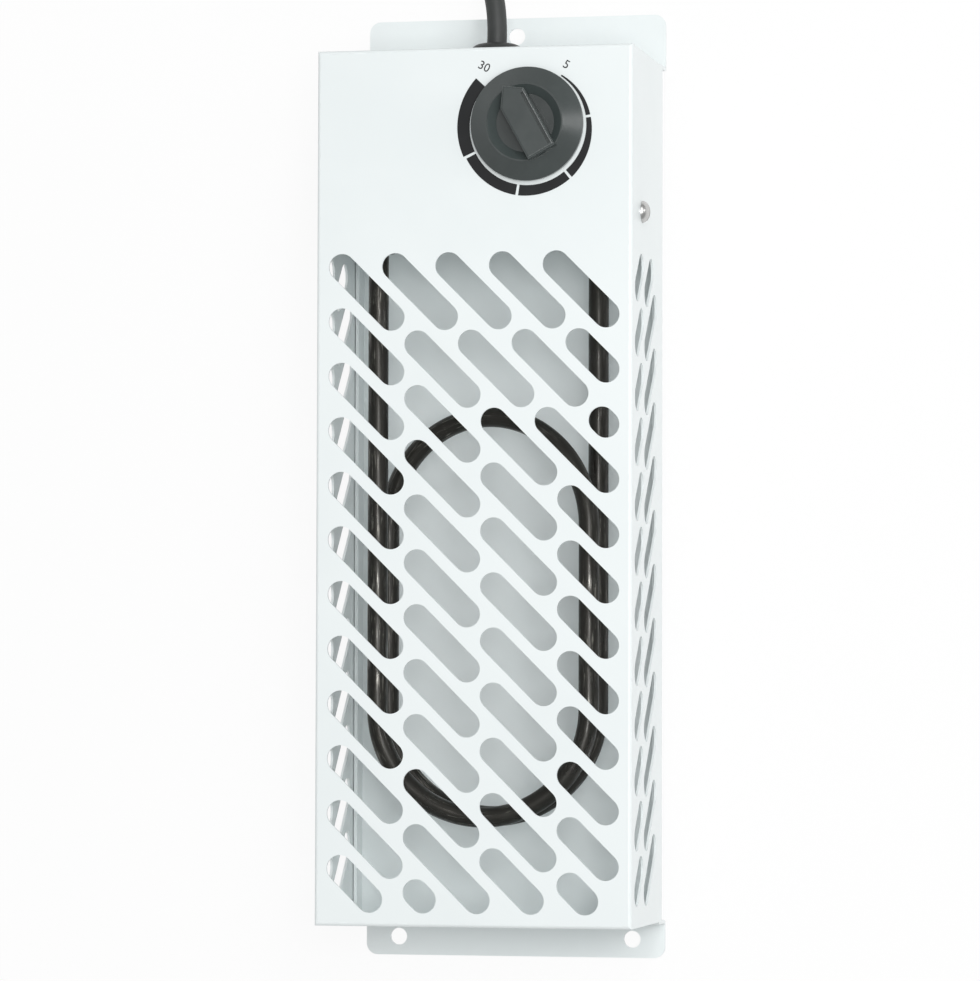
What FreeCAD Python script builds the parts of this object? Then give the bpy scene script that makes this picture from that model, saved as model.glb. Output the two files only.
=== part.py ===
import FreeCAD, Part
import math
import os
import re

import Sketcher
from FreeCAD import Placement, Rotation, Vector

# Frost protection heater lying on the ears of its back plate. Millimetres: +X to the right of the
# front, +Y towards the cord end, +Z out of the front. The origin is midway between the ears, in
# the plane of their rear faces.

SIZES = [
    # back plate
    ("plate_sheet", 1.2, "sheet of the back plate"),
    ("stand_off", 12.5, "plate in front of the ears' rear face"),
    ("fold_inner", 0.8, "inner radius of the folds to the ears"),
    ("ear_top", 20.3, "upper ear beyond the cover"),
    ("ear_bottom", 13.5, "lower ear beyond the cover"),
    ("ear_corner", 4.0, "corner radius of the ears"),
    ("flange_front", 21.5, "front edge of the side flanges"),
    ("flange_gap", 0.3, "flange to cover"),
    ("flange_end", 2.0, "flange end to cover end"),
    ("hole_radius", 3.0, "mounting holes"),
    ("hole_inset", 6.5, "mounting holes from the plate's ends"),
    ("hole_side", 11.7, "lower mounting holes from the ears' sides"),
    # front cover
    ("cover_width", 110.0, "width of the cover"),
    ("cover_height", 300.0, "height of the cover"),
    ("cover_front", 74.0, "front face above the ears' rear face"),
    ("cover_sheet", 0.8, "sheet of the cover"),
    ("cover_bend", 1.1, "outer radius of the front folds"),
    ("cover_gap", 0.3, "cover edge to plate"),
    # slots
    ("slot_width", 9.2, "width of a slot"),
    ("slot_span", 26.67, "a full slot across and down"),
    ("slot_pitch", 18.705, "between slanted rows"),
    ("field_edge", 4.3, "slot field to the cover's sides"),
    ("field_drop", 70.1, "slot field below the cover's top"),
    ("field_foot", 4.6, "slot field above the cover's bottom"),
    ("side_front_edge", 5.8, "side slots behind the front face"),
    ("side_front_span", 17.0, "front column of side slots"),
    ("side_rear_span", 24.2, "rear column of side slots"),
    ("side_column_gap", 1.3, "between the side columns"),
    ("side_phase", 9.4, "first full side row below the field's top"),
    # control partition
    ("shelf_drop", 63.5, "partition below the cover's top"),
    ("shelf_sheet", 1.0, "sheet of the partition"),
    ("shelf_room", 3.0, "partition behind the front sheet"),
    ("shelf_step", 1.0, "partition's wide part in front of the flange"),
    ("side_tab_height", 20.0, "side tabs above the partition"),
    ("side_tab_depth", 26.0, "side tabs from front to rear"),
    ("rear_tab_height", 12.0, "rear tabs along the plate"),
    ("rear_tab_width", 16.0, "width of a rear tab"),
    ("rear_tab_inset", 10.4, "rear tabs' middle from the partition's side"),
    ("rivet_radius", 1.6, "rivet shank"),
    ("rivet_head", 3.0, "rivet head radius"),
    ("rivet_head_height", 1.0, "rivet head height"),
    ("rivet_rise", 6.4, "rivets above the partition"),
    # side screws
    ("side_screw_rise", 8.0, "side screws above the partition"),
    ("side_screw_inset", 19.6, "side screws behind the front face"),
    ("side_screw_radius", 1.95, "side screw shank"),
    ("side_screw_length", 7.0, "side screw shank under the head"),
    ("side_head_radius", 3.8, "side screw head"),
    ("side_head_height", 2.7, "side screw head height"),
    # heating element
    ("tube_radius", 3.5, "element tube"),
    ("leg_side", 17.9, "element legs from the cover's sides"),
    ("leg_inset", 16.8, "front loop behind the front face"),
    ("loop_spread", 17.5, "rear loop behind the front loop"),
    ("loop_foot", 74.0, "lower bends' centre above the cover's bottom"),
    ("inner_drop", 99.7, "upper bend's centre below the partition"),
    ("leg_stub", 17.4, "element ends above the partition"),
    ("bush_radius", 5.5, "bush barrel"),
    ("bush_hex", 8.0, "bush hexagon over corners, radius"),
    ("bush_hex_height", 5.0, "bush hexagon height"),
    ("bush_length", 5.0, "bush barrel below the hexagon"),
    ("washer_radius", 8.5, "element washers"),
    ("washer_height", 0.8, "element washer thickness"),
    ("nut_height", 2.5, "element nut thickness"),
    ("bead_radius", 3.4, "ceramic bead"),
    ("bead_height", 5.0, "ceramic bead height"),
    ("stud_radius", 1.5, "element terminal stud"),
    ("stud_length", 13.0, "element terminal stud length"),
    # thermostat and knob
    ("knob_right", 18.9, "knob axis from the middle"),
    ("knob_drop", 26.9, "knob axis below the cover's top"),
    ("case_width", 30.0, "thermostat case"),
    ("case_height", 38.0, "thermostat case"),
    ("case_depth", 22.0, "thermostat case"),
    ("case_round", 2.0, "thermostat case corners"),
    ("strap_width", 36.0, "thermostat mounting plate"),
    ("strap_height", 18.0, "thermostat mounting plate"),
    ("strap_sheet", 1.6, "thermostat mounting plate"),
    ("panel_screw_half", 14.0, "thermostat screws from the knob axis"),
    ("panel_screw_radius", 1.9, "thermostat screw shank"),
    ("panel_head_radius", 3.3, "thermostat screw head"),
    ("panel_head_height", 1.5, "thermostat screw head height"),
    ("blade_width", 5.0, "thermostat tab"),
    ("blade_sheet", 0.8, "thermostat tab"),
    ("blade_length", 8.0, "thermostat tab"),
    ("blade_half", 7.0, "thermostat tabs from the knob axis"),
    ("shaft_radius", 3.0, "thermostat shaft"),
    ("shaft_seat", 11.0, "shaft inside the thermostat case"),
    ("shaft_stand", 9.4, "shaft above the front face"),
    ("shaft_flat", 1.7, "flat of the shaft from its axis"),
    ("shaft_clearance", 0.05, "shaft to bore"),
    ("panel_hole", 5.0, "shaft hole in the front sheet"),
    ("spring_sheet", 0.4, "leaf between shaft flat and knob"),
    ("spring_width", 4.0, "leaf width"),
    ("spring_length", 5.0, "leaf length"),
    ("knob_radius", 19.45, "knob skirt"),
    ("knob_gap", 1.0, "knob above the front face"),
    ("skirt_edge", 1.4, "straight edge of the skirt"),
    ("rim_radius", 13.4, "crest of the knob ring"),
    ("rim_height", 7.2, "crest above the front face"),
    ("rim_flat", 0.5, "width of the crest"),
    ("dish_radius", 10.0, "floor of the dish"),
    ("dish_height", 4.8, "dish floor above the front face"),
    ("knob_wall", 1.4, "wall of the knob"),
    ("grip_tip", 13.7, "grip bar's pointed end from the axis"),
    ("grip_foot", 12.7, "grip bar's blunt end from the axis"),
    ("grip_left", 4.4, "grip bar's plain side from the axis"),
    ("grip_right", 6.0, "grip bar's grooved side from the axis"),
    ("tip_left", 6.4, "point along the plain side"),
    ("tip_right", 4.2, "point along the grooved side"),
    ("grip_height", 11.4, "grip bar top above the front face"),
    ("grip_round", 0.8, "grip bar top edges"),
    ("grip_angle", 118.8, "grip bar's direction at rest"),
    ("groove_width", 0.9, "groove in the grip bar"),
    ("groove_depth", 1.0, "groove in the grip bar"),
    ("groove_end", 1.2, "groove from the bar's ends"),
    ("groove_edge", 0.9, "groove from the bar's side"),
    # dial
    ("dial_drop", 0.5, "scale's centre below the knob axis"),
    ("dial_inner", 20.3, "inner radius of the scale"),
    ("dial_width", 4.3, "width of the scale at the warm end"),
    ("dial_start", 137.3, "warm end"),
    ("dial_sweep", 278.4, "whole scale"),
    ("dial_gap", 2.4, "gap between marks in degrees"),
    ("dial_sheet", 0.15, "print thickness"),
    # grommet
    ("grommet_front", 36.0, "grommet axis above the ears' rear face"),
    ("grommet_hole", 8.0, "grommet hole in the top sheet"),
    ("grommet_base", 10.1, "grommet dome at the sheet"),
    ("grommet_crown", 9.7, "grommet dome near its top"),
    ("grommet_dome", 6.2, "grommet above the sheet"),
    ("grommet_round", 4.6, "rounding of the dome"),
    ("grommet_flange", 9.6, "grommet flange inside"),
    ("grommet_flange_height", 2.0, "grommet flange inside"),
    ("grommet_tail", 10.5, "grommet inside the sheet"),
    ("grommet_tail_radius", 6.0, "grommet tail"),
    # wiring
    ("fit", 0.05, "running room around shanks and cords"),
    ("cable_seat", 0.3, "inner cable above the plate"),
    ("cable_end", 17.4, "inner cable's end above the partition"),
    ("cable_bend", 12.8, "inner cable's first bend inside the grommet"),
    ("cable_straight", 17.3, "inner cable's last bend before its end"),
    ("cable_meet", 0.75, "inner cable's face below the grommet's top"),
    ("wire_meet", 0.95, "slanted wire ends to what they join"),
    ("joint_meet", 0.6, "wire ends to tabs and studs"),
    ("clamp_rise", 18.9, "clamp above the partition"),
    ("clamp_depth", 5.0, "clamp along the cable"),
    ("clamp_width", 22.0, "clamp across the cable"),
    ("clamp_wall", 2.0, "clamp over the cable"),
    ("clamp_screw_half", 7.8, "clamp screws from the cable"),
    ("small_screw_radius", 1.5, "small screw shank"),
    ("small_head_radius", 2.7, "small screw head"),
    ("small_head_height", 1.6, "small screw head height"),
    ("screw_slot", 0.9, "slot across a screw head"),
    ("screw_slot_depth", 0.7, "slot in a screw head"),
    ("side_slot_depth", 1.3, "slot in a side screw's head"),
    ("block_width", 34.0, "terminal block"),
    ("block_height", 13.0, "terminal block"),
    ("block_depth", 14.0, "terminal block"),
    ("block_rise", 1.4, "terminal block above the partition"),
    ("way_pitch", 10.0, "between the ways of the block"),
    ("way_screw_rise", 9.75, "way screws above the block's lower side"),
    ("way_wire_rise", 3.5, "wires above the block's lower side"),
    ("wire_radius", 1.0, "single wire"),
    ("bond_rise", 8.0, "earth wire's rise from the block"),
    ("bond_reach", 11.0, "earth wire's bend from its stud"),
    ("bond_drop", 4.4, "earth wire's bend below its stud"),
    ("bond_lift", 2.0, "earth wire's bend in front of the block"),
    ("bond_stud", 6.6, "earth wire's end along its stud"),
    ("feed_rise", 18.0, "feed wire's rise from the block"),
    ("feed_shelf", 4.4, "feed wire's bend above the partition"),
    ("feed_drop", 11.0, "feed wire's bend behind its tab"),
    ("heat_shelf", 5.0, "element wire's bends above the partition"),
    ("heat_lift", 3.0, "element wire's bends in front of its tab"),
    ("heat_middle", 6.0, "element wire's second bend from the middle"),
    ("heat_left", 18.0, "element wire's third bend from the middle"),
    ("heat_up", 6.0, "element wire's third bend above the element's end"),
    ("stud_join", 4.5, "wire ends below the stud's tip"),
    ("return_rise", 11.0, "return wire's rise from the block"),
    ("return_gap", 13.5, "return wire's bend from its stud"),
    ("return_drop", 2.0, "return wire's bend behind its stud"),
    ("earth_left", 32.0, "earth stud from the middle"),
    ("earth_rise", 19.4, "earth stud above the partition"),
    ("earth_radius", 2.0, "earth stud"),
    ("earth_length", 11.0, "earth stud"),
    ("earth_nut_hex", 4.0, "earth nut over corners, radius"),
    ("earth_nut_height", 3.2, "earth nut"),
    # cord, coil, tie and plug
    ("cord_radius", 3.5, "supply cord"),
    ("coil_outer", 51.4, "coil's first side from its centre"),
    ("turn_gap", 0.6, "between neighbouring turns"),
    ("coil_lift", 0.9, "coil above the surface"),
    ("coil_turns_in", 6, "half turns that spiral in"),
    ("coil_turns", 11, "half turns in all"),
    ("coil_end", 26.0, "straight end towards the plug"),
    ("tie_width", 6.0, "tie along the cord"),
    ("tie_sheet", 0.8, "tie"),
    ("tie_room", 0.9, "tie to cord"),
    ("relief_long", 24.0, "plug's strain relief"),
    ("relief_thin", 4.5, "strain relief at the cord"),
    ("relief_thick", 6.5, "strain relief at the plug"),
    ("plug_radius", 18.5, "plug disc"),
    ("plug_thick", 24.0, "plug disc"),
    ("plug_round", 3.0, "plug disc edges"),
    ("pin_radius", 2.4, "plug pins"),
    ("pin_length", 19.0, "plug pins"),
    ("pin_spacing", 19.0, "between the plug pins"),
    ("clip_width", 6.0, "plug's earth clip"),
    ("clip_sheet", 1.2, "plug's earth clip"),
    ("clip_length", 11.0, "plug's earth clip"),
]

# The cord's route from the grommet: across, along from the grommet's top, and above the surface.
CORD_ROUTE = [(0.4, 9.0, 35.7), (-3.0, 24.0, 33.0), (0.0, 42.0, 25.0), (17.0, 60.4, 13.0),
              (29.0, 78.4, None)]
CORD_LAST_RUN = 18.0
CORD_LAST_HEADING = 78.0

doc = FreeCAD.newDocument("frost_heater")
sheet = doc.addObject("Spreadsheet::Sheet", "sizes")
for row, (alias, number, meaning) in enumerate(SIZES, 1):
    sheet.set(f"A{row}", meaning)
    sheet.set(f"B{row}", str(number))
    sheet.setAlias(f"B{row}", alias)
doc.recompute()

ALIASES = {alias for alias, number, meaning in SIZES}
TURNS = {
    "z": Rotation(),
    "y": Rotation(Vector(1, 0, 0), -90),
    "x": Rotation(Vector(0, 1, 0), 90),
}
NODES = []

END = "((cover_height + ear_top + ear_bottom) / 2)"
COVER_TOP = f"({END} - ear_top)"
COVER_BOTTOM = f"({COVER_TOP} - cover_height)"
PLATE_FRONT = "(stand_off + plate_sheet)"
COVER_REAR = f"({PLATE_FRONT} + cover_gap)"
COVER_INSIDE = "(cover_front - cover_sheet)"
FLANGE_HALF = "(cover_width / 2 - cover_sheet - flange_gap)"
SHELF = f"({COVER_TOP} - shelf_drop)"
SHELF_UNDER = f"({SHELF} - shelf_sheet)"
SHELF_FRONT = f"({COVER_INSIDE} - shelf_room)"
SHELF_NARROW = f"({FLANGE_HALF} - plate_sheet - flange_gap)"
REAR_TAB = f"({SHELF_NARROW} - rear_tab_inset)"
KNOB_UP = f"({COVER_TOP} - knob_drop)"
STRAP_REAR = f"({COVER_INSIDE} - strap_sheet)"
CABLE_FRONT = f"({PLATE_FRONT} + cable_seat + cord_radius)"
COIL_STEP = "(cord_radius + turn_gap / 2)"
COIL_LOW = "(cord_radius + coil_lift)"
COIL_HIGH = f"({COIL_LOW} + 2 * cord_radius + turn_gap)"
SIDE_SCREW_FRONT = "(cover_front - side_screw_inset)"
LEG_HALF = "(cover_width / 2 - leg_side)"
LEG_FRONT = "(cover_front - leg_inset)"
LEG_REAR = f"({LEG_FRONT} - loop_spread)"


def bound(text):
    """The expression with every size's name pointed at its cell."""
    return re.sub(r"[a-z_]+", lambda m: f"sizes.{m.group()}" if m.group() in ALIASES else m.group(), text)


def val(text):
    """The expression's value now."""
    return float(sheet.evalExpression(bound(text)))


def at(x, y, z):
    """The point at three expressions."""
    return Vector(val(x), val(y), val(z))


def place(obj, spot, rotation=None):
    """Put the object's own origin at three expressions."""
    if rotation is not None:
        obj.Placement = Placement(Vector(), rotation)
    for axis, text in zip("xyz", spot):
        obj.setExpression(f"Placement.Base.{axis}", bound(text))


def box(name, corner, sides):
    """A block from its low corner and its three sides."""
    obj = doc.addObject("Part::Box", name)
    for prop, text in zip(("Length", "Width", "Height"), sides):
        obj.setExpression(prop, bound(text))
    place(obj, corner)
    return obj


def cylinder(name, spot, radius, length, axis="z"):
    """A round bar from the centre of its first end."""
    obj = doc.addObject("Part::Cylinder", name)
    obj.setExpression("Radius", bound(radius))
    obj.setExpression("Height", bound(length))
    place(obj, spot, TURNS[axis])
    return obj


def hexagon(name, spot, corner_radius, length, axis="z"):
    """A six-sided bar from the centre of its first end."""
    obj = doc.addObject("Part::Prism", name)
    obj.Polygon = 6
    obj.setExpression("Circumradius", bound(corner_radius))
    obj.setExpression("Height", bound(length))
    place(obj, spot, TURNS[axis])
    return obj


def fuse(name, *shapes):
    """One solid from shapes that touch or overlap."""
    obj = doc.addObject("Part::MultiFuse", name)
    obj.Shapes = list(shapes)
    obj.Refine = True
    return obj


def group(name, *shapes):
    """Like pieces that share a node."""
    obj = doc.addObject("Part::Compound", name)
    obj.Links = list(shapes)
    return obj


def cut(name, base, *tools):
    """The base with the tools taken out."""
    obj = doc.addObject("Part::Cut", name)
    obj.Base = base
    obj.Tool = tools[0] if len(tools) == 1 else fuse(f"{name}_tools", *tools)
    return obj


def feature(name, shape):
    """A shape that is written out with the part functions."""
    obj = doc.addObject("Part::Feature", name)
    obj.Shape = shape
    return obj


def node(obj, name):
    """Hand the object in as a sub-part of this name."""
    obj.Label = name
    NODES.append(obj)
    return obj


def new_body(name, spot=None, rotation=None):
    """An empty body, with its origin at three expressions."""
    obj = doc.addObject("PartDesign::Body", name)
    if spot:
        place(obj, spot, rotation)
    return obj


def sketch(body, name, plane, lift="0"):
    """A sketch on one of the body's own origin planes, lifted along its normal."""
    obj = body.newObject("Sketcher::SketchObject", name)
    support = [f for f in body.Origin.OriginFeatures if f.Role == plane][0]
    obj.AttachmentSupport = (support, [""])
    obj.MapMode = "FlatFace"
    obj.setExpression("AttachmentOffset.Base.z", bound(lift))
    return obj


def tie_point(flat, name, index, which, x, y):
    """Hold a point of the sketch at two expressions."""
    for axis, text in (("X", x), ("Y", y)):
        number = flat.addConstraint(
            Sketcher.Constraint(f"Distance{axis}", -1, 1, index, which, val(text)))
        flat.renameConstraint(number, f"{name}_{axis.lower()}")
        flat.setExpression(f"Constraints.{name}_{axis.lower()}", bound(text))


def outline(flat, corners):
    """A closed outline of straight lines through corners given as expressions."""
    first = flat.GeometryCount
    count = len(corners)
    points = [Vector(val(x), val(y), 0) for x, y in corners]
    for i in range(count):
        flat.addGeometry(Part.LineSegment(points[i], points[(i + 1) % count]))
    for i in range(count):
        flat.addConstraint(
            Sketcher.Constraint("Coincident", first + i, 2, first + (i + 1) % count, 1))
    for i, (x, y) in enumerate(corners):
        tie_point(flat, f"corner_{first + i}", first + i, 1, x, y)


def rectangle(flat, x_low, x_high, y_low, y_high):
    """A closed rectangle between expressions."""
    outline(flat, [(x_low, y_low), (x_high, y_low), (x_high, y_high), (x_low, y_high)])


def ring(flat, x, y, radius):
    """A circle whose centre and radius are expressions."""
    index = flat.addGeometry(Part.Circle(Vector(val(x), val(y), 0), Vector(0, 0, 1), val(radius)))
    tie_point(flat, f"centre_{index}", index, 3, x, y)
    number = flat.addConstraint(Sketcher.Constraint("Radius", index, val(radius)))
    flat.renameConstraint(number, f"radius_{index}")
    flat.setExpression(f"Constraints.radius_{index}", bound(radius))


def pad(body, flat, length, reverse=False):
    """Raise the sketch into a solid."""
    obj = body.newObject("PartDesign::Pad", f"{flat.Name}_pad")
    obj.Profile = flat
    obj.setExpression("Length", bound(length))
    obj.Reversed = reverse
    doc.recompute()
    return obj


def pocket(body, flat, depth, reverse=False):
    """Cut the sketch into the body, which must lose volume."""
    before = body.Shape.Volume
    obj = body.newObject("PartDesign::Pocket", f"{flat.Name}_pocket")
    obj.Profile = flat
    obj.setExpression("Length", bound(depth))
    obj.Reversed = reverse
    doc.recompute()
    if body.Shape.Volume > before - 0.1:
        raise RuntimeError(f"{flat.Name} cuts nothing")
    return obj


def spin(body, flat):
    """Turn the sketch about its own vertical axis."""
    obj = body.newObject("PartDesign::Revolution", f"{flat.Name}_spin")
    obj.Profile = flat
    obj.ReferenceAxis = (flat, ["V_Axis"])
    obj.Angle = 360
    doc.recompute()
    return obj


def round_edges(body, name, radius, chosen):
    """Round the edges that the test chooses, in the body's own frame."""
    base = body.Tip
    edges = [f"Edge{i}" for i, edge in enumerate(base.Shape.Edges, 1) if chosen(edge)]
    if not edges:
        raise RuntimeError(f"{name} finds no edge")
    obj = body.newObject("PartDesign::Fillet", name)
    obj.Base = (base, edges)
    obj.setExpression("Radius", bound(radius))
    doc.recompute()
    return obj


def near(a, b):
    """True where two lengths agree."""
    return abs(a - b) < 0.01


def flat_at(edge, axis, text):
    """True where the whole edge lies at this place along the axis."""
    low = getattr(edge.BoundBox, f"{axis}Min")
    high = getattr(edge.BoundBox, f"{axis}Max")
    return near(low, val(text)) and near(high, val(text))


def runs_along(edge, axis):
    """True where the edge is straight and runs along the axis."""
    return near(getattr(edge.BoundBox, f"{axis}Length"), edge.Length)


def rounded(points):
    """Straight runs joined by the largest tangent arcs, with the arcs' radii."""
    edges, radii = [], []
    last = points[0]
    for i in range(1, len(points) - 1):
        back = points[i - 1] - points[i]
        ahead = points[i + 1] - points[i]
        reach = 0.45 * min(back.Length, ahead.Length)
        half_turn = (math.pi - back.getAngle(ahead)) / 2
        radius = reach / math.tan(half_turn)
        one = points[i] + Vector(back).normalize() * reach
        two = points[i] + Vector(ahead).normalize() * reach
        inward = (Vector(back).normalize() + Vector(ahead).normalize()).normalize()
        middle = points[i] + inward * (radius / math.cos(half_turn) - radius)
        edges.append(Part.LineSegment(last, one).toShape())
        edges.append(Part.Arc(one, middle, two).toShape())
        radii.append(radius)
        last = two
    edges.append(Part.LineSegment(last, points[-1]).toShape())
    return edges, radii


def tube(name, edges, radius):
    """A round solid along joined edges, with its volume compared with its section."""
    wire = Part.Wire(edges)
    first = edges[0]
    start = first.valueAt(first.FirstParameter)
    heading = first.tangentAt(first.FirstParameter)
    section = Part.Wire(Part.makeCircle(radius, start, heading))
    solid = wire.makePipeShell([section], True, False)
    expected = math.pi * radius ** 2 * wire.Length
    print(f"{name}: length {wire.Length:.1f}, volume {solid.Volume:.0f} of {expected:.0f}")
    if abs(solid.Volume - expected) > 0.01 * expected:
        raise RuntimeError(f"{name} has the wrong volume")
    return feature(name, solid)


def routed(name, points, radius):
    """A tube through points, its bends printed."""
    edges, radii = rounded(points)
    print(f"{name}: radii", [round(r, 1) for r in radii])
    return tube(name, edges, radius)


def half_turn(one, two, side):
    """A half circle between two points that bulges to the side."""
    middle = (one + two) / 2 + Vector(side).normalize() * ((two - one).Length / 2)
    return Part.Arc(one, middle, two).toShape()


def obround(one, two, radius, inward, depth):
    """A round-ended slot between two centres, cut along inward."""
    if (two - one).Length < 0.01:
        return Part.makeCylinder(radius, depth, one, inward)
    along = Vector(two - one).normalize() * radius
    across = along.cross(inward)
    edges = [
        Part.LineSegment(one + across, two + across).toShape(),
        Part.Arc(two + across, two + along, two - across).toShape(),
        Part.LineSegment(two - across, one - across).toShape(),
        Part.Arc(one - across, one - along, one + across).toShape(),
    ]
    return Part.Face(Part.Wire(edges)).extrude(inward * depth)


def front_spans(width, height):
    """Slots of the front field: start across, end across and the row's drop."""
    span, pitch, least = val("slot_span"), val("slot_pitch"), val("slot_width")
    spans = []
    rows = range(-int(width // pitch), int(height // pitch) + 1)
    for drop in (row * pitch for row in rows):
        start = max(0.0, -drop)
        end = min(width, height - drop)
        cuts = []
        while end - start >= least:
            stop = min(start + span, end)
            cuts.append([start, stop])
            start = stop
        if cuts:
            cuts[-1][1] = end
        spans += [(low, high, drop) for low, high in cuts]
    return spans


def side_spans(height):
    """Slots of a side field: start from the rear, end and the row's drop."""
    span, pitch, least = val("slot_span"), val("slot_pitch"), val("slot_width")
    second = span + val("side_column_gap")
    columns = ((span - val("side_rear_span"), span), (second, second + val("side_front_span")))
    rows = range(-int(columns[1][1] // pitch) - 1, int(height // pitch) + 1)
    spans = []
    for drop in (val("side_phase") + row * pitch for row in rows):
        for low, high in columns:
            start = max(low, -drop)
            end = min(high, height - drop)
            if end - start >= least:
                spans.append((start, end, drop))
    return spans


def slot_punch():
    """The slots of the front and of both sides as one set of cutters."""
    radius = val("slot_width / 2")
    top = val(f"{COVER_TOP} - field_drop")
    height = top - val(f"{COVER_BOTTOM} + field_foot")
    left = val("field_edge - cover_width / 2")
    front = val("cover_front + cover_sheet")
    depth = val("3 * cover_sheet")
    cutters = []
    for start, end, drop in front_spans(val("cover_width - 2 * field_edge"), height):
        ends = [Vector(left + u, top - drop - u, front) for u in (start + radius, end - radius)]
        cutters.append(obround(ends[0], ends[1], radius, Vector(0, 0, -1), depth))
    fronts = len(cutters)
    rear = val("cover_front - side_front_edge - side_front_span - side_column_gap - slot_span")
    face = val("cover_width / 2 + cover_sheet")
    for start, end, drop in side_spans(height):
        for side in (-1, 1):
            ends = [Vector(side * face, top - drop - u, rear + u) for u in (start + radius, end - radius)]
            cutters.append(obround(ends[0], ends[1], radius, Vector(-side, 0, 0), depth))
    print(f"slots: {fronts} in front, {(len(cutters) - fronts) // 2} on each side")
    return feature("slot_punch", Part.makeCompound(cutters))


def dome_head(name, spot, radius, height, side):
    """Half of an egg shape on a side face, its crown towards side."""
    obj = doc.addObject("Part::Ellipsoid", name)
    obj.setExpression("Radius1", bound(height))
    obj.setExpression("Radius2", bound(radius))
    obj.setExpression("Radius3", bound(radius))
    obj.Angle1 = 0
    place(obj, spot, Rotation(Vector(0, 1, 0), 90 * side))
    return obj


def slotted_screw(name, spot, shank_radius, shank_length, head_radius, head_height, axis, side=1):
    """A screw with a slotted head: the spot is under the head, the head towards side."""
    def along(text):
        moved = list(spot)
        moved["xyz".index(axis)] = f"{spot['xyz'.index(axis)]} + {text}"
        return moved

    shank_from = f"(0 - {shank_length})" if side > 0 else "0"
    head_from = "0" if side > 0 else f"(0 - {head_height})"
    depth = {"x": "side_slot_depth", "z": "screw_slot_depth"}[axis]
    groove_from = f"({head_height} - {depth})" if side > 0 else f"(0 - {head_height})"
    shank = cylinder(f"{name}_shank", along(shank_from), shank_radius, shank_length, axis)
    if axis == "x":
        head = dome_head(f"{name}_head", spot, head_radius, head_height, side)
    else:
        head = cylinder(f"{name}_head", along(head_from), head_radius, head_height, axis)
    sides = {
        "x": (depth, f"2 * {head_radius}", "screw_slot"),
        "z": (f"2 * {head_radius}", "screw_slot", depth),
    }[axis]
    corner = along(groove_from)
    for i, length in enumerate(sides):
        if i != "xyz".index(axis):
            corner[i] = f"{corner[i]} - ({length}) / 2"
    return cut(name, fuse(f"{name}_blank", shank, head), box(f"{name}_groove", corner, sides))


# back plate: a sheet standing off the wall on two folded ears, with side flanges and holes
plate = new_body("plate")
LEFT_EDGE = f"0 - {FLANGE_HALF}"
WEB_TOP = f"{COVER_TOP} + plate_sheet"
WEB_LOW = f"{COVER_BOTTOM} - plate_sheet"
plan = sketch(plate, "plate_plan", "XY_Plane", "stand_off")
rectangle(plan, LEFT_EDGE, FLANGE_HALF, WEB_LOW, WEB_TOP)
pad(plate, plan, "plate_sheet")
webs = sketch(plate, "plate_webs", "XY_Plane")
rectangle(webs, LEFT_EDGE, FLANGE_HALF, COVER_TOP, WEB_TOP)
rectangle(webs, LEFT_EDGE, FLANGE_HALF, WEB_LOW, COVER_BOTTOM)
pad(plate, webs, PLATE_FRONT)
ears = sketch(plate, "plate_ears", "XY_Plane")
rectangle(ears, LEFT_EDGE, FLANGE_HALF, COVER_TOP, END)
rectangle(ears, LEFT_EDGE, FLANGE_HALF, f"0 - {END}", COVER_BOTTOM)
pad(plate, ears, "plate_sheet")
folds = sketch(plate, "plate_folds", "XY_Plane", "stand_off")
FLANGE_IN = f"{FLANGE_HALF} - plate_sheet"
FLANGE_LOW = f"{COVER_BOTTOM} + flange_end"
FLANGE_TOP = f"{COVER_TOP} - flange_end"
rectangle(folds, FLANGE_IN, FLANGE_HALF, FLANGE_LOW, FLANGE_TOP)
rectangle(folds, LEFT_EDGE, f"0 - ({FLANGE_IN})", FLANGE_LOW, FLANGE_TOP)
pad(plate, folds, "flange_front - stand_off")
hang = sketch(plate, "ear_holes", "XY_Plane")
HANG_UP = f"{END} - hole_inset"
ring(hang, f"hole_side - {FLANGE_HALF}", f"0 - ({HANG_UP})", "hole_radius")
ring(hang, f"{FLANGE_HALF} - hole_side", f"0 - ({HANG_UP})", "hole_radius")
ring(hang, "0", HANG_UP, "hole_radius")
pocket(plate, hang, "plate_sheet", reverse=True)
drill = sketch(plate, "plate_holes", "XY_Plane", "stand_off")
RIVET_UP = f"({SHELF} + rivet_rise)"
CLAMP_UP = f"({SHELF} + clamp_rise)"
BLOCK_UP = f"({SHELF} + block_rise)"
BLOCK_SCREW = ("0 - way_pitch / 2", f"({BLOCK_UP} + block_height / 2)")
for across in (REAR_TAB, f"0 - {REAR_TAB}"):
    ring(drill, across, RIVET_UP, "rivet_radius + fit")
for across in ("clamp_screw_half", "0 - clamp_screw_half"):
    ring(drill, across, f"{CLAMP_UP} + clamp_depth / 2", "small_screw_radius + fit")
ring(drill, *BLOCK_SCREW, "small_screw_radius + fit")
pocket(plate, drill, "plate_sheet", reverse=True)
round_edges(plate, "ear_corners", "ear_corner", lambda e: runs_along(e, "Z") and (
    flat_at(e, "Y", END) or flat_at(e, "Y", f"0 - {END}")))
round_edges(plate, "flange_corners", "ear_corner", lambda e: runs_along(e, "X")
            and flat_at(e, "Z", "flange_front"))
INNER_FOLDS = ((WEB_TOP, "plate_sheet"), (COVER_TOP, "stand_off"),
               (WEB_LOW, "plate_sheet"), (COVER_BOTTOM, "stand_off"))
OUTER_FOLDS = ((WEB_TOP, PLATE_FRONT), (COVER_TOP, "0"), (WEB_LOW, PLATE_FRONT), (COVER_BOTTOM, "0"))
round_edges(plate, "folds_inside", "fold_inner", lambda e: runs_along(e, "X") and any(
    flat_at(e, "Y", up) and flat_at(e, "Z", front) for up, front in INNER_FOLDS))
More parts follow.
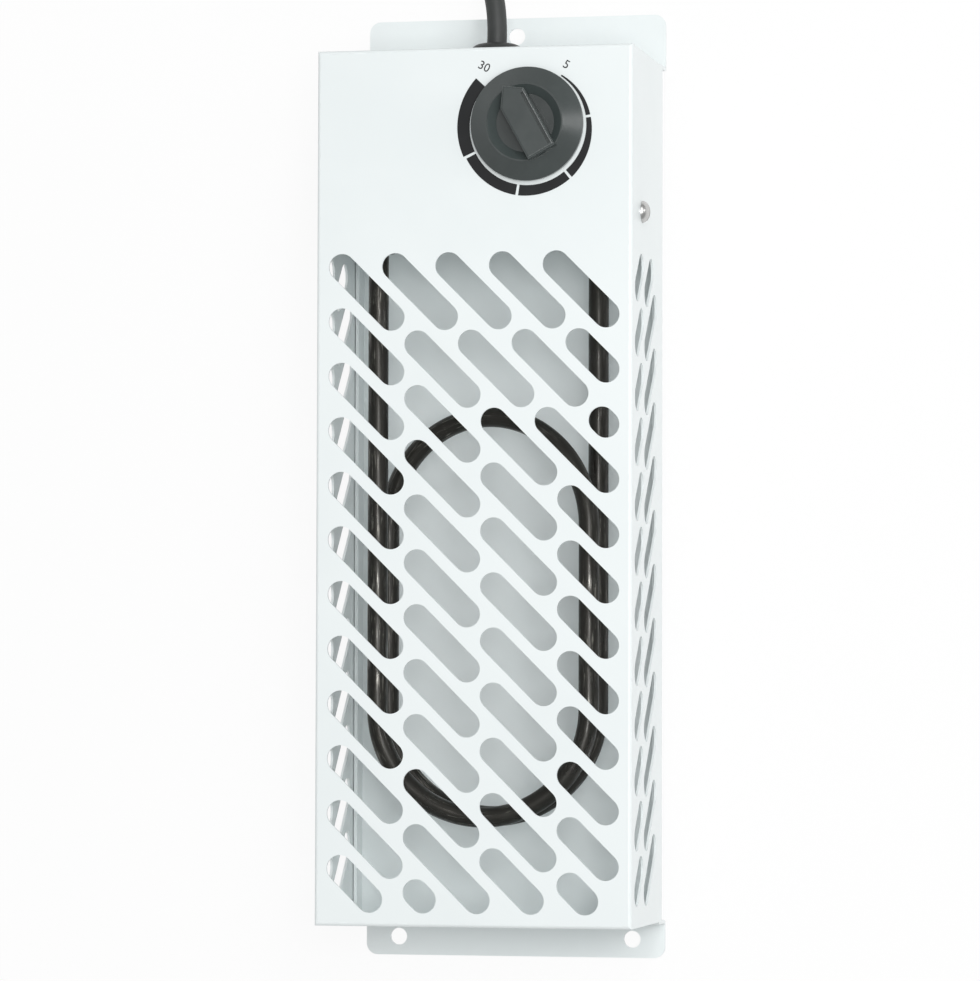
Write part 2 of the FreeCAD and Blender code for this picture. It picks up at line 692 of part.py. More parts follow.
round_edges(plate, "folds_outside", "fold_inner + plate_sheet", lambda e: runs_along(e, "X") and any(
    flat_at(e, "Y", up) and flat_at(e, "Z", front) for up, front in OUTER_FOLDS))
node(plate, "back_plate")

# front cover: a folded tray, then its holes
tray = new_body("tray")
tray_plan = sketch(tray, "tray_plan", "XY_Plane", COVER_REAR)
rectangle(tray_plan, "0 - cover_width / 2", "cover_width / 2", COVER_BOTTOM, COVER_TOP)
pad(tray, tray_plan, f"cover_front - {COVER_REAR}")
round_edges(tray, "front_folds", "cover_bend", lambda e: flat_at(e, "Z", "cover_front"))
tray_inside = sketch(tray, "tray_inside", "XY_Plane", COVER_REAR)
rectangle(tray_inside, "cover_sheet - cover_width / 2", "cover_width / 2 - cover_sheet",
          f"{COVER_BOTTOM} + cover_sheet", f"{COVER_TOP} - cover_sheet")
pocket(tray, tray_inside, f"{COVER_INSIDE} - {COVER_REAR}", reverse=True)
round_edges(tray, "inner_folds", "cover_bend - cover_sheet", lambda e: flat_at(e, "Z", COVER_INSIDE)
            and max(e.BoundBox.XLength, e.BoundBox.YLength) > val("cover_width / 2"))
SIDE_SCREW_UP = f"({SHELF} + side_screw_rise)"
front_holes = [
    slot_punch(),
    cylinder("shaft_hole", ("knob_right", KNOB_UP, f"{COVER_INSIDE} - cover_sheet"),
             "panel_hole", "3 * cover_sheet"),
    cylinder("grommet_opening", ("0", f"{COVER_TOP} - 2 * cover_sheet", "grommet_front"),
             "grommet_hole", "3 * cover_sheet", "y"),
    cylinder("side_screw_hole", ("0 - cover_width", SIDE_SCREW_UP, SIDE_SCREW_FRONT),
             "side_screw_radius + fit", "2 * cover_width", "x"),
]
for side, sign in (("left", "-"), ("right", "+")):
    front_holes.append(cylinder(
        f"panel_screw_hole_{side}",
        (f"knob_right {sign} panel_screw_half", KNOB_UP, f"{COVER_INSIDE} - cover_sheet"),
        "panel_screw_radius + fit", "3 * cover_sheet"))
node(cut("cover", tray, group("cover_holes", *front_holes)), "front_cover")

# control partition: a shelf with side tabs for the cover and rear tabs for the plate
shelf = new_body("shelf", ("0", SHELF_UNDER, "0"))
shelf_plan = sketch(shelf, "shelf_plan", "XZ_Plane")
STEP = "flange_front + shelf_step"
outline(shelf_plan, [
    (f"0 - {SHELF_NARROW}", PLATE_FRONT), (SHELF_NARROW, PLATE_FRONT), (SHELF_NARROW, STEP),
    (FLANGE_HALF, STEP), (FLANGE_HALF, SHELF_FRONT), (f"0 - {FLANGE_HALF}", SHELF_FRONT),
    (f"0 - {FLANGE_HALF}", STEP), (f"0 - {SHELF_NARROW}", STEP)])
pad(shelf, shelf_plan, "shelf_sheet", reverse=True)
TAB_REAR = f"({SHELF_FRONT} - side_tab_depth)"
tab_sides = ("shelf_sheet", "side_tab_height + shelf_sheet", "side_tab_depth")
foot_sides = ("rear_tab_width", "rear_tab_height + shelf_sheet", "shelf_sheet")
shelf_pieces = [
    shelf,
    box("tab_left", (f"0 - {FLANGE_HALF}", SHELF_UNDER, TAB_REAR), tab_sides),
    box("tab_right", (f"{FLANGE_HALF} - shelf_sheet", SHELF_UNDER, TAB_REAR), tab_sides),
    box("foot_left", (f"0 - {REAR_TAB} - rear_tab_width / 2", SHELF_UNDER, PLATE_FRONT), foot_sides),
    box("foot_right", (f"{REAR_TAB} - rear_tab_width / 2", SHELF_UNDER, PLATE_FRONT), foot_sides),
]
LEGS = (("left", f"(0 - {LEG_HALF})", LEG_FRONT), ("right", LEG_HALF, LEG_REAR))
shelf_holes = [cylinder("tab_hole", ("0 - cover_width", SIDE_SCREW_UP, SIDE_SCREW_FRONT),
                        "side_screw_radius + fit", "2 * cover_width", "x")]
for side, across, front in LEGS:
    shelf_holes.append(cylinder(f"bush_hole_{side}", (across, f"{SHELF_UNDER} - shelf_sheet", front),
                                "bush_radius + fit", "3 * shelf_sheet", "y"))
for side, sign in (("left", "0 -"), ("right", "")):
    shelf_holes.append(cylinder(f"rivet_hole_{side}", (f"{sign} {REAR_TAB}", RIVET_UP, "stand_off"),
                                "rivet_radius + fit", "3 * plate_sheet"))
node(cut("partition", fuse("partition_blank", *shelf_pieces), *shelf_holes), "control_partition")

rivets = []
for side, sign in (("left", "0 -"), ("right", "")):
    across = f"{sign} {REAR_TAB}"
    rivets.append(fuse(
        f"rivet_{side}",
        cylinder(f"rivet_{side}_shank", (across, RIVET_UP, "stand_off + fit"), "rivet_radius",
                 "plate_sheet + shelf_sheet - fit"),
        cylinder(f"rivet_{side}_head", (across, RIVET_UP, f"{PLATE_FRONT} + shelf_sheet"), "rivet_head",
                 "rivet_head_height")))
node(group("rivets", *rivets), "partition_rivets")

side_screws = []
for side, sign, way in (("left", "0 -", -1), ("right", "", 1)):
    side_screws.append(slotted_screw(
        f"side_screw_{side}", (f"{sign} cover_width / 2", SIDE_SCREW_UP, SIDE_SCREW_FRONT),
        "side_screw_radius", "side_screw_length", "side_head_radius", "side_head_height", "x", way))
node(group("screws_at_sides", *side_screws), "side_screws")

# heating element: one tube bent into a front and a rear loop
LEG_TOP = f"({SHELF} + leg_stub)"
LOOP_LOW = f"({COVER_BOTTOM} + loop_foot)"
LOOP_HIGH = f"({SHELF} - inner_drop)"
left, right = f"(0 - {LEG_HALF})", LEG_HALF
bends = [at(left, LEG_TOP, LEG_FRONT), at(left, LOOP_LOW, LEG_FRONT),
         at(right, LOOP_LOW, LEG_FRONT), at(right, LOOP_HIGH, LEG_FRONT),
         at(left, LOOP_HIGH, LEG_REAR), at(left, LOOP_LOW, LEG_REAR),
         at(right, LOOP_LOW, LEG_REAR), at(right, LEG_TOP, LEG_REAR)]
down, up = Vector(0, -1, 0), Vector(0, 1, 0)
element_edges = []
for i, bulge in enumerate((None, down, None, up, None, down, None)):
    if bulge is None:
        element_edges.append(Part.LineSegment(bends[i], bends[i + 1]).toShape())
    else:
        element_edges.append(half_turn(bends[i], bends[i + 1], bulge))
node(tube("element", element_edges, val("tube_radius")), "heating_element")

# element fixings, one set on each end of the tube
bushes, washers, nuts, beads, studs = [], [], [], [], []
for side, across, front in LEGS:
    bore = "tube_radius + fit"
    bush_low = f"{SHELF} - bush_length"
    blank = fuse(f"bush_{side}_blank",
                 hexagon(f"bush_{side}_head", (across, SHELF, front), "bush_hex", "bush_hex_height", "y"),
                 cylinder(f"bush_{side}_barrel", (across, bush_low, front), "bush_radius",
                          "bush_length", "y"))
    bushes.append(cut(f"bush_{side}", blank, cylinder(
        f"bush_{side}_bore", (across, bush_low, front), bore, "bush_length + bush_hex_height", "y")))
    washer_low = f"{SHELF_UNDER} - washer_height"
    washers.append(cut(
        f"washer_{side}",
        cylinder(f"washer_{side}_disc", (across, washer_low, front), "washer_radius", "washer_height", "y"),
        cylinder(f"washer_{side}_bore", (across, washer_low, front), "bush_radius + fit",
                 "washer_height", "y")))
    nut_low = f"{washer_low} - nut_height"
    nuts.append(cut(
        f"nut_{side}",
        hexagon(f"nut_{side}_hex", (across, nut_low, front), "bush_hex", "nut_height", "y"),
        cylinder(f"nut_{side}_bore", (across, nut_low, front), "bush_radius + fit", "nut_height", "y")))
    beads.append(cut(
        f"bead_{side}",
        cylinder(f"bead_{side}_round", (across, LEG_TOP, front), "bead_radius", "bead_height", "y"),
        cylinder(f"bead_{side}_bore", (across, LEG_TOP, front), "stud_radius + fit", "bead_height", "y")))
    studs.append(cylinder(f"stud_{side}", (across, LEG_TOP, front), "stud_radius", "stud_length", "y"))
node(group("bushes", *bushes), "element_bushes")
node(group("washers", *washers), "element_washers")
node(group("nuts", *nuts), "element_nuts")
node(group("beads", *beads), "element_insulators")
node(group("studs", *studs), "element_terminals")

# thermostat behind the front sheet
case = new_body("case", ("knob_right", KNOB_UP, f"{STRAP_REAR} - case_depth"))
case_plan = sketch(case, "case_plan", "XY_Plane")
rectangle(case_plan, "0 - case_width / 2", "case_width / 2", "0 - case_height / 2", "case_height / 2")
pad(case, case_plan, "case_depth")
round_edges(case, "case_corners", "case_round", lambda e: runs_along(e, "Z"))
case_bore = sketch(case, "case_bore", "XY_Plane", "case_depth - shaft_seat - cover_sheet")
ring(case_bore, "0", "0", "shaft_radius + shaft_clearance")
pocket(case, case_bore, "shaft_seat + cover_sheet", reverse=True)
node(case, "thermostat_body")

strap = box("strap_blank", ("knob_right - strap_width / 2", f"{KNOB_UP} - strap_height / 2", STRAP_REAR),
            ("strap_width", "strap_height", "strap_sheet"))
strap_holes = [cylinder("strap_shaft_hole", ("knob_right", KNOB_UP, STRAP_REAR), "panel_hole",
                        "strap_sheet")]
panel_screws = []
for side, sign in (("left", "-"), ("right", "+")):
    across = f"knob_right {sign} panel_screw_half"
    strap_holes.append(cylinder(f"strap_hole_{side}", (across, KNOB_UP, STRAP_REAR),
                                "panel_screw_radius + fit", "strap_sheet"))
    panel_screws.append(slotted_screw(
        f"panel_screw_{side}", (across, KNOB_UP, "cover_front"), "panel_screw_radius",
        "(strap_sheet + cover_sheet)", "panel_head_radius", "panel_head_height", "z"))
node(cut("strap", strap, *strap_holes), "thermostat_plate")
node(group("panel_screws", *panel_screws), "thermostat_screws")

BLADE_UP = f"({KNOB_UP} - case_height / 2 - blade_length)"
BLADE_FRONT = f"({STRAP_REAR} - case_depth / 2)"
blades = []
for side, sign in (("left", "-"), ("right", "+")):
    blades.append(box(f"blade_{side}", (f"knob_right {sign} blade_half - blade_width / 2", BLADE_UP,
                                        f"{BLADE_FRONT} - blade_sheet / 2"),
                      ("blade_width", "blade_length", "blade_sheet")))
node(group("blades", *blades), "thermostat_tabs")

# shaft, spring leaf and knob turn together about the knob axis
SHAFT_LOW = f"({STRAP_REAR} - shaft_seat)"
SHAFT_TOP = "(cover_front + shaft_stand)"
FLAT_LOW = "(cover_front + dish_height - knob_wall)"
shaft_round = cylinder("shaft_round", ("knob_right", KNOB_UP, SHAFT_LOW), "shaft_radius",
                       f"{SHAFT_TOP} - {SHAFT_LOW}")
shaft_side = box("shaft_side", ("knob_right - shaft_radius", f"{KNOB_UP} + shaft_flat", FLAT_LOW),
                 ("2 * shaft_radius", "shaft_radius", f"{SHAFT_TOP} - {FLAT_LOW}"))
node(cut("shaft", shaft_round, shaft_side), "thermostat_shaft")
node(box("leaf", ("knob_right - spring_width / 2", f"{KNOB_UP} + shaft_flat + fit",
                  f"{SHAFT_TOP} - spring_length"),
         ("spring_width", "spring_sheet", "spring_length")), "knob_spring")

dish = new_body("dish", ("knob_right", KNOB_UP, "cover_front"))
dish_half = sketch(dish, "dish_half", "XZ_Plane")
outline(dish_half, [
    ("0", "dish_height - knob_wall"), ("dish_radius", "dish_height - knob_wall"),
    ("rim_radius - rim_flat", "rim_height - 1.5 * knob_wall"),
    ("knob_radius - knob_wall", "knob_gap + skirt_edge / 2"), ("knob_radius - knob_wall", "knob_gap"),
    ("knob_radius", "knob_gap"), ("knob_radius", "knob_gap + skirt_edge"),
    ("rim_radius", "rim_height"), ("rim_radius - rim_flat", "rim_height"),
    ("dish_radius", "dish_height"), ("0", "dish_height")])
spin(dish, dish_half)
grip = new_body("grip", ("knob_right", KNOB_UP, "cover_front"))
grip_plan = sketch(grip, "grip_plan", "XY_Plane", "dish_height - knob_wall / 2")
outline(grip_plan, [
    ("0 - grip_foot", "0 - grip_right"), ("grip_tip - tip_right", "0 - grip_right"), ("grip_tip", "0"),
    ("grip_tip - tip_left", "grip_left"), ("0 - grip_foot", "grip_left")])
pad(grip, grip_plan, "grip_height - dish_height + knob_wall / 2")
round_edges(grip, "grip_edges", "grip_round", lambda e: flat_at(e, "Z", "grip_height"))
grip_cut = sketch(grip, "grip_cut", "XY_Plane", "grip_height")
rectangle(grip_cut, "groove_end - grip_foot", "grip_tip - tip_right - groove_end",
          "groove_edge - grip_right", "groove_edge + groove_width - grip_right")
pocket(grip, grip_cut, "groove_depth")
grip.Placement.Rotation = Rotation(Vector(0, 0, 1), val("grip_angle"))
grip.setExpression("Placement.Rotation.Angle", bound("grip_angle"))
bore_round = cylinder("bore_round", ("knob_right", KNOB_UP, FLAT_LOW), "shaft_radius + shaft_clearance",
                      f"{SHAFT_TOP} - {FLAT_LOW} + fit")
bore_side = box("bore_side", ("knob_right - 2 * shaft_radius",
                              f"{KNOB_UP} + shaft_flat + spring_sheet + 2 * fit", FLAT_LOW),
                ("4 * shaft_radius", "2 * shaft_radius", f"{SHAFT_TOP} - {FLAT_LOW} + fit"))
node(cut("knob_solid", fuse("knob_blank", dish, grip), cut("knob_bore", bore_round, bore_side)), "knob")

# scale around the knob: each mark's ends as shares of the sweep, and its widths there as shares
# of the warm end's width
MARKS = (
    (0.0, 0.2453, 1.0, 1.0), (0.2453, 0.4436, 0.85, 0.85), (0.4436, 0.6185, 0.85, 0.74),
    (0.6185, 0.8279, 0.74, 0.39), (0.8279, 1.0, 0.37, 0.12))


def mark(start, end, wide, narrow):
    """One mark of the scale between two shares of its sweep."""
    axis = at("knob_right", f"{KNOB_UP} - dial_drop", "cover_front")
    gap = val("dial_gap") / val("dial_sweep") / 2
    low = start + (gap if start > 0 else 0)
    high = end - (gap if end < 1 else 0)

    def spot(share, outer):
        angle = math.radians(val("dial_start") + share * val("dial_sweep"))
        width = wide + (share - low) / (high - low) * (narrow - wide)
        reach = val("dial_inner") + (width * val("dial_width") if outer else 0)
        return axis + Vector(math.cos(angle), math.sin(angle), 0) * reach

    half = (low + high) / 2
    edges = [
        Part.Arc(spot(low, True), spot(half, True), spot(high, True)).toShape(),
        Part.LineSegment(spot(high, True), spot(high, False)).toShape(),
        Part.Arc(spot(high, False), spot(half, False), spot(low, False)).toShape(),
        Part.LineSegment(spot(low, False), spot(low, True)).toShape(),
    ]
    return Part.Face(Part.Wire(edges)).extrude(Vector(0, 0, val("dial_sheet")))


marks = [mark(*ends) for ends in MARKS]
node(feature("dial", Part.makeCompound(marks)), "dial_scale")

# domed grommet in the top sheet
dome = new_body("dome", ("0", COVER_TOP, "grommet_front"))
dome_half = sketch(dome, "dome_half", "XY_Plane")
BORE = "cord_radius + fit"
SEAT = "0 - cover_sheet - fit"
outline(dome_half, [
    (BORE, "0 - grommet_tail"), ("grommet_tail_radius", "0 - grommet_tail"),
    ("grommet_tail_radius", f"{SEAT} - grommet_flange_height"),
    ("grommet_flange", f"{SEAT} - grommet_flange_height"), ("grommet_flange", SEAT),
    ("grommet_hole - 2 * fit", SEAT), ("grommet_hole - 2 * fit", "0"), ("grommet_base", "0"),
    ("grommet_crown", "grommet_dome"), (BORE, "grommet_dome")])
spin(dome, dome_half)
round_edges(dome, "dome_round", "grommet_round", lambda e: flat_at(e, "Y", "grommet_dome")
            and e.BoundBox.XLength > val("cord_radius + grommet_crown"))
node(dome, "cable_grommet")

# terminal block on the plate, with its screws
BLOCK_FRONT = f"({PLATE_FRONT} + block_depth)"
block = box("block_blank", ("0 - block_width / 2", BLOCK_UP, PLATE_FRONT),
            ("block_width", "block_height", "block_depth"))
node(cut("block", block, cylinder("block_bore", (*BLOCK_SCREW, PLATE_FRONT), "small_screw_radius + fit",
                                  "block_depth")), "terminal_block")
node(slotted_screw("block_fixing", (*BLOCK_SCREW, BLOCK_FRONT), "small_screw_radius",
                   "(block_depth + plate_sheet - fit)", "small_head_radius", "small_head_height", "z"),
     "block_screw")
WAYS = (("earth", "0 - way_pitch"), ("live", "0"), ("neutral", "way_pitch"))
way_screws = []
for way, across in WAYS:
    way_screws.append(cylinder(f"way_screw_{way}", (across, f"{BLOCK_UP} + way_screw_rise", BLOCK_FRONT),
                               "small_head_radius", "small_head_height"))
node(group("way_screws", *way_screws), "terminal_screws")

# clamp that holds the inner cable to the plate
CLAMP_FRONT = f"({CABLE_FRONT} + cord_radius + clamp_wall)"
saddle = box("saddle_blank", ("0 - clamp_width / 2", CLAMP_UP, PLATE_FRONT),
             ("clamp_width", "clamp_depth", f"{CLAMP_FRONT} - {PLATE_FRONT}"))
saddle_cuts = [
    cylinder("saddle_round", ("0", CLAMP_UP, CABLE_FRONT), "cord_radius + fit", "clamp_depth", "y"),
    box("saddle_mouth", ("0 - cord_radius - fit", CLAMP_UP, PLATE_FRONT),
        ("2 * (cord_radius + fit)", "clamp_depth", f"{CABLE_FRONT} - {PLATE_FRONT}")),
]
clamp_screws = []
for side, sign in (("left", "0 -"), ("right", "")):
    spot = (f"{sign} clamp_screw_half", f"({CLAMP_UP} + clamp_depth / 2)")
    saddle_cuts.append(cylinder(f"saddle_hole_{side}", (*spot, PLATE_FRONT), "small_screw_radius + fit",
                                f"{CLAMP_FRONT} - {PLATE_FRONT}"))
    clamp_screws.append(slotted_screw(
        f"clamp_screw_{side}", (*spot, CLAMP_FRONT), "small_screw_radius",
        f"({CLAMP_FRONT} - stand_off - fit)", "small_head_radius", "small_head_height", "z"))
node(cut("saddle", saddle, *saddle_cuts), "cable_clamp")
node(group("saddle_screws", *clamp_screws), "clamp_screws")

# inner cable through the grommet, and its wires
EXIT_UP = f"({COVER_TOP} + grommet_dome)"
CABLE_END = f"({SHELF} + cable_end)"
inner_points = [
    at("0", f"{EXIT_UP} - cable_meet", "grommet_front"),
    at("0", f"{COVER_TOP} - grommet_tail - cable_bend", "grommet_front"),
    at("0", f"{CABLE_END} + cable_straight", CABLE_FRONT), at("0", CABLE_END, CABLE_FRONT)]
node(routed("inner_lead", inner_points, val("cord_radius")), "inner_cable")
BLOCK_TOP = f"({BLOCK_UP} + block_height)"
for index, (way, across) in enumerate(WAYS):
    one = at(f"{index - 1} * (2 * wire_radius + 4 * fit)", f"{CABLE_END} - wire_meet", CABLE_FRONT)
    two = at(across, f"{BLOCK_TOP} + wire_meet", CABLE_FRONT)
    node(tube(f"lead_{way}", [Part.LineSegment(one, two).toShape()], val("wire_radius")), f"wire_{way}")

EARTH = ("(0 - earth_left)", f"({SHELF} + earth_rise)")
EARTH_FOOT = (*EARTH, PLATE_FRONT)
node(cylinder("earth_pin", EARTH_FOOT, "earth_radius", "earth_length"), "earth_stud")
node(cut("earth_hex", hexagon("earth_hex_blank", EARTH_FOOT, "earth_nut_hex", "earth_nut_height"),
         cylinder("earth_hex_bore", EARTH_FOOT, "earth_radius + fit", "earth_nut_height")),
     "earth_nut")

WAY_UP = f"({BLOCK_UP} + way_wire_rise)"
wire = val("wire_radius")
node(routed("bond", [
    at("0 - way_pitch", WAY_UP, BLOCK_FRONT), at("0 - way_pitch", WAY_UP, f"{BLOCK_FRONT} + bond_rise"),
    at("bond_reach - earth_left", f"{EARTH[1]} - bond_drop", f"{BLOCK_FRONT} + bond_lift"),
    at("earth_radius + wire_radius + 2 * fit - earth_left", EARTH[1], f"{PLATE_FRONT} + bond_stud")], wire),
    "wire_bond")
node(routed("feed", [
    at("0", WAY_UP, BLOCK_FRONT), at("0", WAY_UP, f"{BLOCK_FRONT} + feed_rise"),
    at("knob_right - blade_half", f"{SHELF} + feed_shelf", f"{BLADE_FRONT} - feed_drop"),
    at("knob_right - blade_half", f"{BLADE_UP} - joint_meet", BLADE_FRONT)], wire), "wire_thermostat")
node(routed("heat", [
    at("knob_right + blade_half", f"{BLADE_UP} - joint_meet", BLADE_FRONT),
    at("knob_right + blade_half", f"{SHELF} + heat_shelf", f"{BLADE_FRONT} + heat_lift"),
    at("heat_middle", f"{SHELF} + heat_shelf", f"{BLADE_FRONT} + 2 * heat_lift"),
    at("0 - heat_left", f"{LEG_TOP} + heat_up", f"{LEG_FRONT} + heat_lift"),
    at(f"stud_radius + joint_meet - {LEG_HALF}", f"{LEG_TOP} + stud_length - stud_join", LEG_FRONT)], wire),
    "wire_element")
node(routed("back", [
    at("way_pitch", WAY_UP, BLOCK_FRONT), at("way_pitch", WAY_UP, f"{BLOCK_FRONT} + return_rise"),
    at(f"{LEG_HALF} - return_gap", LEG_TOP, f"{LEG_REAR} - return_drop"),
    at(f"{LEG_HALF} - stud_radius - joint_meet", f"{LEG_TOP} + stud_length - stud_join", LEG_REAR)], wire),
    "wire_return")

# supply cord from the grommet down to the surface
low = val(COIL_LOW)
exit_point = at("0", EXIT_UP, "grommet_front")
heading = Vector(math.cos(math.radians(CORD_LAST_HEADING)), math.sin(math.radians(CORD_LAST_HEADING)), 0)
route = [exit_point]
route += [Vector(x, exit_point.y + y, low if z is None else z) for x, y, z in CORD_ROUTE]
route.append(route[-1] + heading * CORD_LAST_RUN)
node(routed("lead", route, val("cord_radius")), "supply_cord")

# the rest of the cord, wound in two layers of half turns
straight = 2 * val("cord_radius")
outward = Vector(heading.y, -heading.x, 0)
steps = int(val("coil_turns"))
turned = int(val("coil_turns_in"))
first_side = route[-1] + heading * straight
centre = first_side - outward * val("coil_outer")
sides = []
for j in range(steps + 1):
    reach = val("coil_outer") - val(COIL_STEP) * (j if j <= turned else 2 * turned - 1 - j)
    lift = 0 if j < turned else val(f"{COIL_HIGH} - {COIL_LOW}")
    sides.append(centre + outward * (reach if j % 2 == 0 else -reach) + Vector(0, 0, lift))
coil_edges = [Part.LineSegment(route[-1], first_side).toShape()]
for j in range(steps):
    coil_edges.append(half_turn(sides[j], sides[j + 1], heading if j % 2 == 0 else -heading))
leaving = heading if steps % 2 == 0 else -heading
cord_end = sides[-1] + leaving * val("coil_end")
coil_edges.append(Part.LineSegment(sides[-1], cord_end).toShape())
node(tube("winding", coil_edges, val("cord_radius")), "cord_coil")


def self_gap(edges, radius):
    """The least gap between stretches of the winding, measured on points."""
    path = []
    for edge in edges:
        count = max(2, int(edge.Length / 2))
        path += edge.discretize(count)[:-1]
    reach = [0.0]
    for one, two in zip(path, path[1:]):
        reach.append(reach[-1] + (two - one).Length)
    least = math.inf
    for i, one in enumerate(path):
        for k in range(i + 1, len(path)):
            if reach[k] - reach[i] > 12 * radius:
                least = min(least, (path[k] - one).Length)
    return least - 2 * radius


gap = self_gap(coil_edges, val("cord_radius"))
print(f"coil: least gap to itself {gap:.2f}, centre {centre.x:.1f} {centre.y:.1f}")
if gap < 0.4:
    raise RuntimeError("the coil touches itself")

# tie around the turns on the far side of the coil
level = Placement(Vector(centre.x, centre.y, 0), Rotation(Vector(0, 0, 1), CORD_LAST_HEADING))
TIE_OUT = f"(coil_outer - {COIL_STEP} / 2 + cord_radius + tie_room)"
TIE_IN = f"(coil_outer - (coil_turns_in - 1) * {COIL_STEP} - cord_radius - 2 * tie_room)"
TIE_LOW = "(coil_lift - fit)"
TIE_HIGH = f"({COIL_HIGH} + cord_radius + tie_room)"
band = new_body("band")
band_plan = sketch(band, "band_plan", "XZ_Plane", "0 - tie_width / 2")
rectangle(band_plan, f"{TIE_IN} - tie_sheet", f"{TIE_OUT} + tie_sheet", f"{TIE_LOW} - tie_sheet",
          f"{TIE_HIGH} + tie_sheet")
pad(band, band_plan, "tie_width")
band_inside = sketch(band, "band_inside", "XZ_Plane", "0 - tie_width / 2")
rectangle(band_inside, TIE_IN, TIE_OUT, TIE_LOW, TIE_HIGH)
pocket(band, band_inside, "tie_width", reverse=True)


def inner_corner(edge):
    """True for the four edges in the tie's inside corners."""
    across = near(edge.BoundBox.XMin, val(TIE_IN)) or near(edge.BoundBox.XMin, val(TIE_OUT))
    return runs_along(edge, "Y") and across


round_edges(band, "band_inner_corners", "cord_radius - tie_room", inner_corner)
round_edges(band, "band_corners", "cord_radius - tie_room + tie_sheet", lambda e: runs_along(e, "Y") and (
    flat_at(e, "Z", f"{TIE_LOW} - tie_sheet") or flat_at(e, "Z", f"{TIE_HIGH} + tie_sheet")))
band.Placement = level
node(band, "cord_tie")

# angled plug lying with its pins up
facing = Rotation(Vector(0, 0, 1), math.degrees(math.atan2(leaving.y, leaving.x)))
spread = Placement(Vector(cord_end.x, cord_end.y, 0), facing)
DISC_ALONG = "(relief_long + plug_radius - plug_round)"
disc = new_body("disc", (DISC_ALONG, "0", "0"))
disc_plan = sketch(disc, "disc_plan", "XY_Plane")
ring(disc_plan, "0", "0", "plug_radius")
pad(disc, disc_plan, "plug_thick")
round_edges(disc, "disc_edges", "plug_round", lambda e: e.Length > val("4 * plug_radius"))
cone = doc.addObject("Part::Cone", "relief")
cone.setExpression("Radius1", bound("relief_thin"))
cone.setExpression("Radius2", bound("relief_thick"))
cone.setExpression("Height", bound("relief_long"))
place(cone, ("0", "0", COIL_HIGH), TURNS["x"])
CLIP_LOW = "(plug_thick - clip_length)"
recesses, clips = [], []
for side, corner in (("one", "plug_radius - clip_sheet"), ("two", "0 - plug_radius")):
    spot = (f"{DISC_ALONG} - clip_width / 2", corner, CLIP_LOW)
    recesses.append(box(f"recess_{side}", spot, ("clip_width", "clip_sheet", "clip_length")))
    inset = "fit" if side == "one" else "0"
    clips.append(box(f"clip_{side}", (f"{DISC_ALONG} - clip_width / 2 + fit", f"{corner} + {inset}",
                                      f"{CLIP_LOW} + fit"),
                     ("clip_width - 2 * fit", "clip_sheet - fit", "clip_length - plug_round")))
neck = cylinder("relief_root", ("relief_long", "0", COIL_HIGH), "relief_thick", "plug_radius", "x")
plug = cut("plug", fuse("plug_blank", disc, cone, neck), *recesses)
plug.Placement = spread
node(plug, "plug_body")
pins = []
for side, sign in (("one", "-"), ("two", "+")):
    along = f"{DISC_ALONG} {sign} pin_spacing / 2"
    tip = doc.addObject("Part::Sphere", f"pin_{side}_tip")
    tip.setExpression("Radius", bound("pin_radius"))
    place(tip, (along, "0", "plug_thick + pin_length - pin_radius"))
    pins.append(fuse(f"pin_{side}", tip, cylinder(f"pin_{side}_bar", (along, "0", "plug_thick"),
                                                  "pin_radius", "pin_length - pin_radius")))
pin_pair = group("pin_pair", *pins)
pin_pair.Placement = spread
node(pin_pair, "plug_pins")
clip_pair = group("clip_pair", *clips)
clip_pair.Placement = spread
node(clip_pair, "plug_earth_clips")

doc.recompute()
for obj in doc.Objects:
    if "Invalid" in obj.State or "Error" in obj.State:
        raise RuntimeError(f"{obj.Name} failed: {obj.State}")
for obj in NODES:
    if obj.Shape.isNull() or not obj.Shape.isValid() or not obj.Shape.Solids:
        raise RuntimeError(f"{obj.Label} has no valid solid")

os.makedirs("parts", exist_ok=True)
for obj in NODES:
    obj.Shape.exportStep(os.path.join("parts", f"{obj.Label}.step"))
print(len(NODES), "nodes written")
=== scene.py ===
"""Frost protection heater: finishes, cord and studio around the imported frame."""

import math

import bpy
import numpy as np
from mathutils import Matrix, Vector


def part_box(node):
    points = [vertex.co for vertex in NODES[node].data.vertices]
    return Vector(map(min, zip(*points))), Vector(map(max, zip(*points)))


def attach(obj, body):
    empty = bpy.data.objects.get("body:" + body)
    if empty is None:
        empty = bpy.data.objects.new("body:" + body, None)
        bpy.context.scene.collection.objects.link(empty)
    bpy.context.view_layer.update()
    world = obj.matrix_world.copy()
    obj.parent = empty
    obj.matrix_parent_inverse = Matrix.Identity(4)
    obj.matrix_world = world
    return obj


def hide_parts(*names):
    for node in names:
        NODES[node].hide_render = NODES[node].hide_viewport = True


bl_info = {
    "name": "Frost protection heater",
    "version": (1, 0, 0),
    "blender": (4, 5, 0),
    "location": "View3D > Sidebar > Heater",
    "description": "Finishes, cord and studio of a frost protection heater",
    "category": "Object",
}

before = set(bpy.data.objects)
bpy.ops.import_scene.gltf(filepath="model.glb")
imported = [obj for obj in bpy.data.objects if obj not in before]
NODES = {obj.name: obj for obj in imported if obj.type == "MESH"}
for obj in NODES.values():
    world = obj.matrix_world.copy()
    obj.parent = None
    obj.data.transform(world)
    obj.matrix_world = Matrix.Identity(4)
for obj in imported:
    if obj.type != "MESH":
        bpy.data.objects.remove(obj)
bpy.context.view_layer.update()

# The heater's sizes are in millimetres and its angles in degrees.
# The camera, the lamps and the floor are in metres.
MM = 0.001

